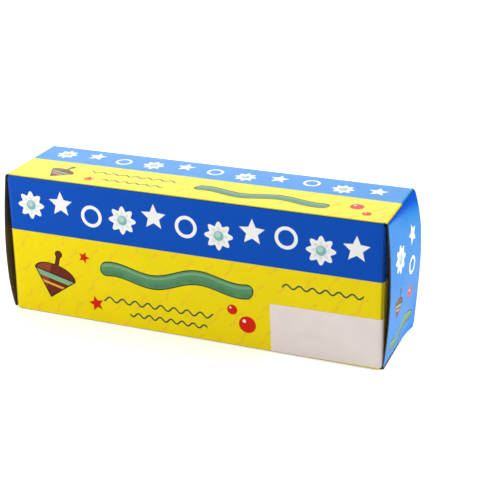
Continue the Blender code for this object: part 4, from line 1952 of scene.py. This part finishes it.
@dataclass
class Game:
    """The wooden game: a bored pipe with a nozzle, a post and a hoop on it, and the loose foam ball."""

    bore: float = 0.0045
    bore_past: float = 0.006
    end_round: float = 0.004
    nozzle_bore: float = 0.00225
    lip: float = 0.0008
    hoop_hole: float = 0.0095
    hoop_round: float = 0.0012
    post_round: float = 0.0006
    mouth_round: float = 0.0006
    drill_share: float = 0.6
    tenon_share: float = 0.6
    seat_gap: float = 0.0003
    ridge: float = 0.004
    ridge_width: float = 0.03
    bore_steps: int = 24
    rod_steps: int = 50
    post_steps: int = 20
    hoop_steps: int = 160
    soft_steps: int = 6
    ball_steps: int = 65

    def __post_init__(self) -> None:
        """Makes the woods and the foam."""
        along_x = (0.06, 1.0, 1.0)
        along_z = (1.0, 1.0, 0.08)
        self.paint = Wood(Ink.PIPE_GREEN, Ink.PIPE_DEEP, along_x, 0.55, 0.4, 0.38).make("green_paint")
        self.stain_up = Wood(Ink.STAIN, Ink.STAIN_DEEP, along_z, 0.9, 0.35, 0.46).make("brown_stain_upright")
        self.stain_flat = Wood(Ink.STAIN, Ink.STAIN_DEEP, along_x, 0.9, 0.35, 0.46).make("brown_stain_flat")
        self.foam = BeadFoam().make("bead_foam")

    def pipe(self) -> bpy.types.Object:
        """Makes the pipe: a rod with rounded ends and a blind bore with a drill's point.

        Returns:
            The object.
        """
        low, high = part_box("blow_pipe")
        radius = (high.z - low.z) / 2
        nozzle_low, nozzle_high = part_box("nozzle")
        bore_end = (nozzle_low.x + nozzle_high.x) / 2 + self.bore_past
        soft = self.end_round
        mouth = self.mouth_round
        profile = np.concatenate((
            [(bore_end + self.bore * self.drill_share, 0.0), (bore_end, self.bore)],
            straight_run(bore_end, low.x + mouth, self.bore, self.bore_steps)[1:-1],
            quarter_round(low.x + mouth, self.bore + mouth, mouth, 270.0),
            quarter_round(low.x + soft, radius - soft, soft, 180.0),
            straight_run(low.x + soft, high.x - soft, radius, self.rod_steps)[1:-1],
            quarter_round(high.x - soft, radius - soft, soft, 90.0),
            [(high.x, 0.0)],
        ))
        turned = Turned("pipe", profile, (0.0, 0.0, (low.z + high.z) / 2), along_x=True)
        return self.seat(turned.build(self.paint), "blow_pipe", "painted_wood", "game")

    def nozzle(self) -> bpy.types.Object:
        """Makes the nozzle: a tube with a rounded lip.

        Returns:
            The object.
        """
        low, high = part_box("nozzle")
        outer = (high.x - low.x) / 2
        lip = self.lip
        profile = np.concatenate((
            [(low.z, self.nozzle_bore), (low.z, outer)],
            quarter_round(high.z - lip, outer - lip, lip, 90.0),
            quarter_round(high.z - lip, self.nozzle_bore + lip, lip, 360.0),
        ))
        centre = ((low.x + high.x) / 2, 0.0, 0.0)
        turned = Turned("air_nozzle", profile, centre, closed=True)
        return self.seat(turned.build(self.stain_up), "nozzle", "stained_wood", "game")

    def post(self) -> bpy.types.Object:
        """Makes the post: a dowel with a narrower tenon that enters the hoop.

        Returns:
            The object.
        """
        low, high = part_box("post")
        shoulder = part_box("hoop")[0].z - self.seat_gap
        radius = (high.x - low.x) / 2
        tenon = radius * self.tenon_share
        profile = np.concatenate((
            [(low.z, 0.0), (low.z, radius - self.post_round)],
            straight_run(low.z + self.post_round, shoulder, radius, self.post_steps),
            [(shoulder, tenon), (high.z, tenon), (high.z, 0.0)],
        ))
        turned = Turned("hoop_post", profile, ((low.x + high.x) / 2, 0.0, 0.0))
        return self.seat(turned.build(self.stain_up), "post", "stained_wood", "game")

    def hoop(self) -> bpy.types.Object:
        """Makes the hoop: a rounded section carried round the hole, out to two circles and their tangents.

        Returns:
            The object.
        """
        low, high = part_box("hoop")
        post_low, post_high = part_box("post")
        ring = (high.y - low.y) / 2
        centre_x = low.x + ring
        reach = (post_low.x + post_high.x) / 2 - centre_x
        tail = high.x - centre_x - reach
        turn = np.linspace(0.0, math.tau, self.hoop_steps, endpoint=False)
        off_axis = np.abs((turn + math.pi) % math.tau - math.pi)
        touch = math.acos((ring - tail) / reach)
        tail_touch = math.atan2(tail * math.sin(touch), reach + tail * math.cos(touch))
        tangent = ring / np.cos(off_axis - touch)
        square = np.maximum(tail**2 - (reach * np.sin(off_axis)) ** 2, 0.0)
        tail_arc = reach * np.cos(off_axis) + np.sqrt(square)
        outer = np.where(off_axis > touch, ring, np.where(off_axis > tail_touch, tangent, tail_arc))
        angle = np.radians(np.linspace(0.0, 90.0, self.soft_steps))
        inwards = self.hoop_round * (1 - np.cos(angle))
        down = self.hoop_round * (1 - np.sin(angle))
        flat = np.zeros(self.soft_steps)
        share = np.concatenate((flat, np.linspace(0, 1, self.soft_steps + 2)[1:-1], flat + 1))
        inset = np.concatenate((inwards, flat, -inwards[::-1]))
        lower = np.concatenate((down, flat, down[::-1]))
        mix = np.concatenate((share, share[::-1]))
        shift = np.concatenate((inset, inset[::-1]))
        z = np.concatenate((high.z - lower, low.z + lower[::-1]))
        span = (1 - mix[:, None]) * self.hoop_hole + mix[:, None] * outer + shift[:, None]
        x = centre_x + span * np.cos(turn)
        y = span * np.sin(turn)
        points = np.stack((x, y, np.repeat(z[:, None], len(turn), axis=1)), axis=-1)
        numbers = np.arange(points[..., 0].size).reshape(points.shape[:2])
        wrapped = np.concatenate((numbers, numbers[:, :1]), axis=1)
        wrapped = np.concatenate((wrapped, wrapped[:1]))
        faces = grid_quads(wrapped)[:, ::-1].tolist()
        obj = link_mesh("catch_hoop", points.reshape(-1, 3), faces, WOOD_SHARP)
        obj.data.materials.append(self.stain_flat)
        return self.seat(obj, "hoop", "stained_wood", "game")

    def ball(self) -> bpy.types.Object:
        """Makes the ball: a half circle turned round, with a faint moulding ridge at its middle.

        Returns:
            The object.
        """
        low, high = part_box("ball")
        radius = (high.z - low.z) / 2
        angle = np.linspace(math.pi, 0.0, self.ball_steps)
        off_middle = (angle - math.pi / 2) / self.ridge_width
        reach = radius * (1 - self.ridge * (1 - np.exp(-(off_middle**2))))
        profile = np.stack((reach * np.cos(angle), reach * np.sin(angle)), axis=-1)
        centre = tuple((low + high) / 2)
        turned = Turned("foam_ball", profile, centre)
        return self.seat(turned.build(self.foam), "ball", "ball_foam", "ball")

    def build(self) -> list[bpy.types.Object]:
        """Makes all pieces of the game."""
        return [self.pipe(), self.nozzle(), self.post(), self.hoop(), self.ball()]

    @staticmethod
    def seat(obj: bpy.types.Object, node: str, slot: str, body: str) -> bpy.types.Object:
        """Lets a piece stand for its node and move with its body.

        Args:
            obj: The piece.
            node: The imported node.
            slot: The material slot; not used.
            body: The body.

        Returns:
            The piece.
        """
        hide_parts(node)
        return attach(obj, body)


@dataclass(frozen=True)
class SoftBox:
    """A rectangular studio lamp that faces the carton: its place, width, height and brightness."""

    name: str
    place: tuple[float, float, float]
    width: float
    height: float
    radiance: float

    def build(self) -> None:
        """Adds the lamp; its power is the radiance times pi times its area."""
        lamp = bpy.data.lights.new(self.name, "AREA")
        lamp.shape = "RECTANGLE"
        lamp.size = self.width
        lamp.size_y = self.height
        lamp.energy = self.radiance * math.pi * self.width * self.height
        obj = bpy.data.objects.new(self.name, lamp)
        place = Vector(self.place)
        obj.matrix_world = Matrix.Translation(place) @ place.to_track_quat("Z", "Y").to_matrix().to_4x4()
        obj.visible_camera = False
        bpy.context.scene.collection.objects.link(obj)


@dataclass
class Studio:
    """The photograph's camera, a pale floor and even white light.

    One wide lamp shines from the right, a soft box from behind and a small one from near the front left. A
    dark card shows only in what the varnish mirrors.
    """

    azimuth: float = 21.989
    elevation: float = 22.637
    roll: float = -0.797
    focal: float = 1215.82
    distance: float = 0.562096
    shift_right: float = 0.014479
    shift_up: float = 0.03572
    image: float = 480.0
    sensor: float = 36.0
    nearest: float = 0.01
    ambient: float = 0.5
    lamp: float = 2.55
    lamp_from: tuple[float, float, float] = (0.86, 0.3, 0.42)
    lamp_angle: float = 36.0
    back_box: SoftBox = SoftBox("back_soft_box", (-0.85, 1.4, 0.75), 1.8, 1.0, 1.9)
    front_box: SoftBox = SoftBox("front_soft_box", (-0.36, -0.3, 0.2), 0.3, 0.3, 3.4)
    floor: float = 6.0
    floor_lines: int = 9
    card_middle: tuple[float, float] = (0.195, 0.185)
    card_half: float = 0.12
    card_high: float = 0.24

    def build(self) -> None:
        """Makes the camera, the light, the floor and the dark card."""
        self.add_camera()
        self.add_light()
        self.add_floor()
        self.add_card()
        bpy.context.scene.view_settings.view_transform = "Standard"

    def add_camera(self) -> None:
        """Places the camera at a distance from the carton's foot, moved sideways and up in its own plane."""
        azimuth, elevation, roll = (math.radians(a) for a in (self.azimuth, self.elevation, self.roll))
        level = math.cos(elevation)
        back = Vector((math.sin(azimuth) * level, -math.cos(azimuth) * level, math.sin(elevation)))
        plain_right = (-back).cross(Vector((0.0, 0.0, 1.0))).normalized()
        plain_up = plain_right.cross(-back)
        right = math.cos(roll) * plain_right + math.sin(roll) * plain_up
        up = math.cos(roll) * plain_up - math.sin(roll) * plain_right
        place = back * self.distance + right * self.shift_right + up * self.shift_up
        camera = bpy.data.cameras.new("camera")
        camera.sensor_width = self.sensor
        camera.lens = self.focal / self.image * self.sensor
        camera.clip_start = self.nearest
        obj = bpy.data.objects.new("camera", camera)
        axes = Matrix((right, up, back)).transposed().to_4x4()
        obj.matrix_world = Matrix.Translation(place) @ axes
        bpy.context.scene.collection.objects.link(obj)
        bpy.context.scene.camera = obj

    def add_light(self) -> None:
        """Adds a white world, brighter where it is seen or mirrored, one wide lamp and the soft boxes."""
        world = bpy.data.worlds.new("studio")
        world.use_nodes = True
        sky = world.node_tree.nodes["Background"]
        sky.inputs["Color"].default_value = (1.0, 1.0, 1.0, 1.0)
        path = world.node_tree.nodes.new("ShaderNodeLightPath")
        seen = world.node_tree.nodes.new("ShaderNodeMath")
        seen.operation = "MAXIMUM"
        world.node_tree.links.new(path.outputs["Is Camera Ray"], seen.inputs[0])
        world.node_tree.links.new(path.outputs["Is Glossy Ray"], seen.inputs[1])
        level = world.node_tree.nodes.new("ShaderNodeMapRange")
        level.inputs["To Min"].default_value = self.ambient
        level.inputs["To Max"].default_value = 1.0
        world.node_tree.links.new(seen.outputs[0], level.inputs["Value"])
        world.node_tree.links.new(level.outputs["Result"], sky.inputs["Strength"])
        bpy.context.scene.world = world
        lamp = bpy.data.lights.new("soft_lamp", "SUN")
        lamp.energy = self.lamp
        lamp.angle = math.radians(self.lamp_angle)
        obj = bpy.data.objects.new("soft_lamp", lamp)
        turn = Vector(self.lamp_from).to_track_quat("Z", "Y")
        obj.matrix_world = turn.to_matrix().to_4x4()
        bpy.context.scene.collection.objects.link(obj)
        self.back_box.build()
        self.front_box.build()

    def add_floor(self) -> None:
        """Adds the floor: a square grid at the height that the carton stands on."""
        line = np.linspace(-self.floor / 2, self.floor / 2, self.floor_lines)
        x, y = np.meshgrid(line, line)
        points = np.stack((x, y, np.zeros_like(x)), axis=-1).reshape(-1, 3)
        faces = grid_quads(np.arange(len(points)).reshape(x.shape)).tolist()
        floor = link_mesh("floor", points, faces, STAGE_SHARP)
        floor.data.materials.append(FloorPaper().make("floor_paper"))

    def add_card(self) -> None:
        """Stands a dark card beyond the right end's back edge, seen only in what the varnish mirrors."""
        middle = np.array(self.card_middle)
        side = np.array((middle[1], -middle[0])) / np.linalg.norm(middle) * self.card_half
        foot = np.stack((middle - side, middle + side))
        low = np.concatenate((foot, np.zeros((2, 1))), axis=1)
        high = np.concatenate((foot[::-1], np.full((2, 1), self.card_high)), axis=1)
        card = link_mesh("dark_card", np.concatenate((low, high)), [(0, 1, 2, 3)], STAGE_SHARP)
        card.data.materials.append(Graph("dark_card").dress(Ink.OUTLINE, MATT, 0.0))
        card.visible_camera = False
        card.visible_diffuse = False
        card.visible_shadow = False


def clear_scene() -> None:
    """Removes what a new Blender scene starts with."""
    for obj in list(bpy.data.objects):
        bpy.data.objects.remove(obj, do_unlink=True)


def main() -> None:
    """Builds the studio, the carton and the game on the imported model."""
    logging.basicConfig(level=logging.INFO, format="%(message)s")
    clear_scene()
    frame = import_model()
    lines = CartonLines.read(frame["joints"])
    Studio().build()
    finishes = BoardFinishes(lines)
    sleeve = Sleeve(lines)
    pieces = [sleeve.build(finishes)]
    right_front = EdgeBow(fullest=0.0021, peak=0.5, rise_power=2.0, fall_power=2.0, foot=0.0)
    right_back = EdgeBow(fullest=0.0041, peak=0.47, rise_power=2.6, fall_power=1.3, foot=0.0024)
    right_end = TuckEnd(lines, sleeve, Side.RIGHT, right_front, right_back, low_out=0.0006)
    pieces += right_end.build(finishes)
    left_front = EdgeBow(fullest=0.00345, peak=0.6, rise_power=1.65, fall_power=2.6, foot=0.00095)
    left_back = EdgeBow(fullest=0.0041, peak=0.5, rise_power=2.0, fall_power=2.0, foot=0.0006)
    pieces += TuckEnd(lines, sleeve, Side.LEFT, left_front, left_back, fold_out=0.0005).build(finishes)
    pieces.append(Sticker(lines, sleeve, right_end).build())
    pieces += Game().build()
    for piece in pieces:
        LOG.info("%s: %d faces", piece.name, len(piece.data.polygons))


if __name__ == "__main__":
    main()
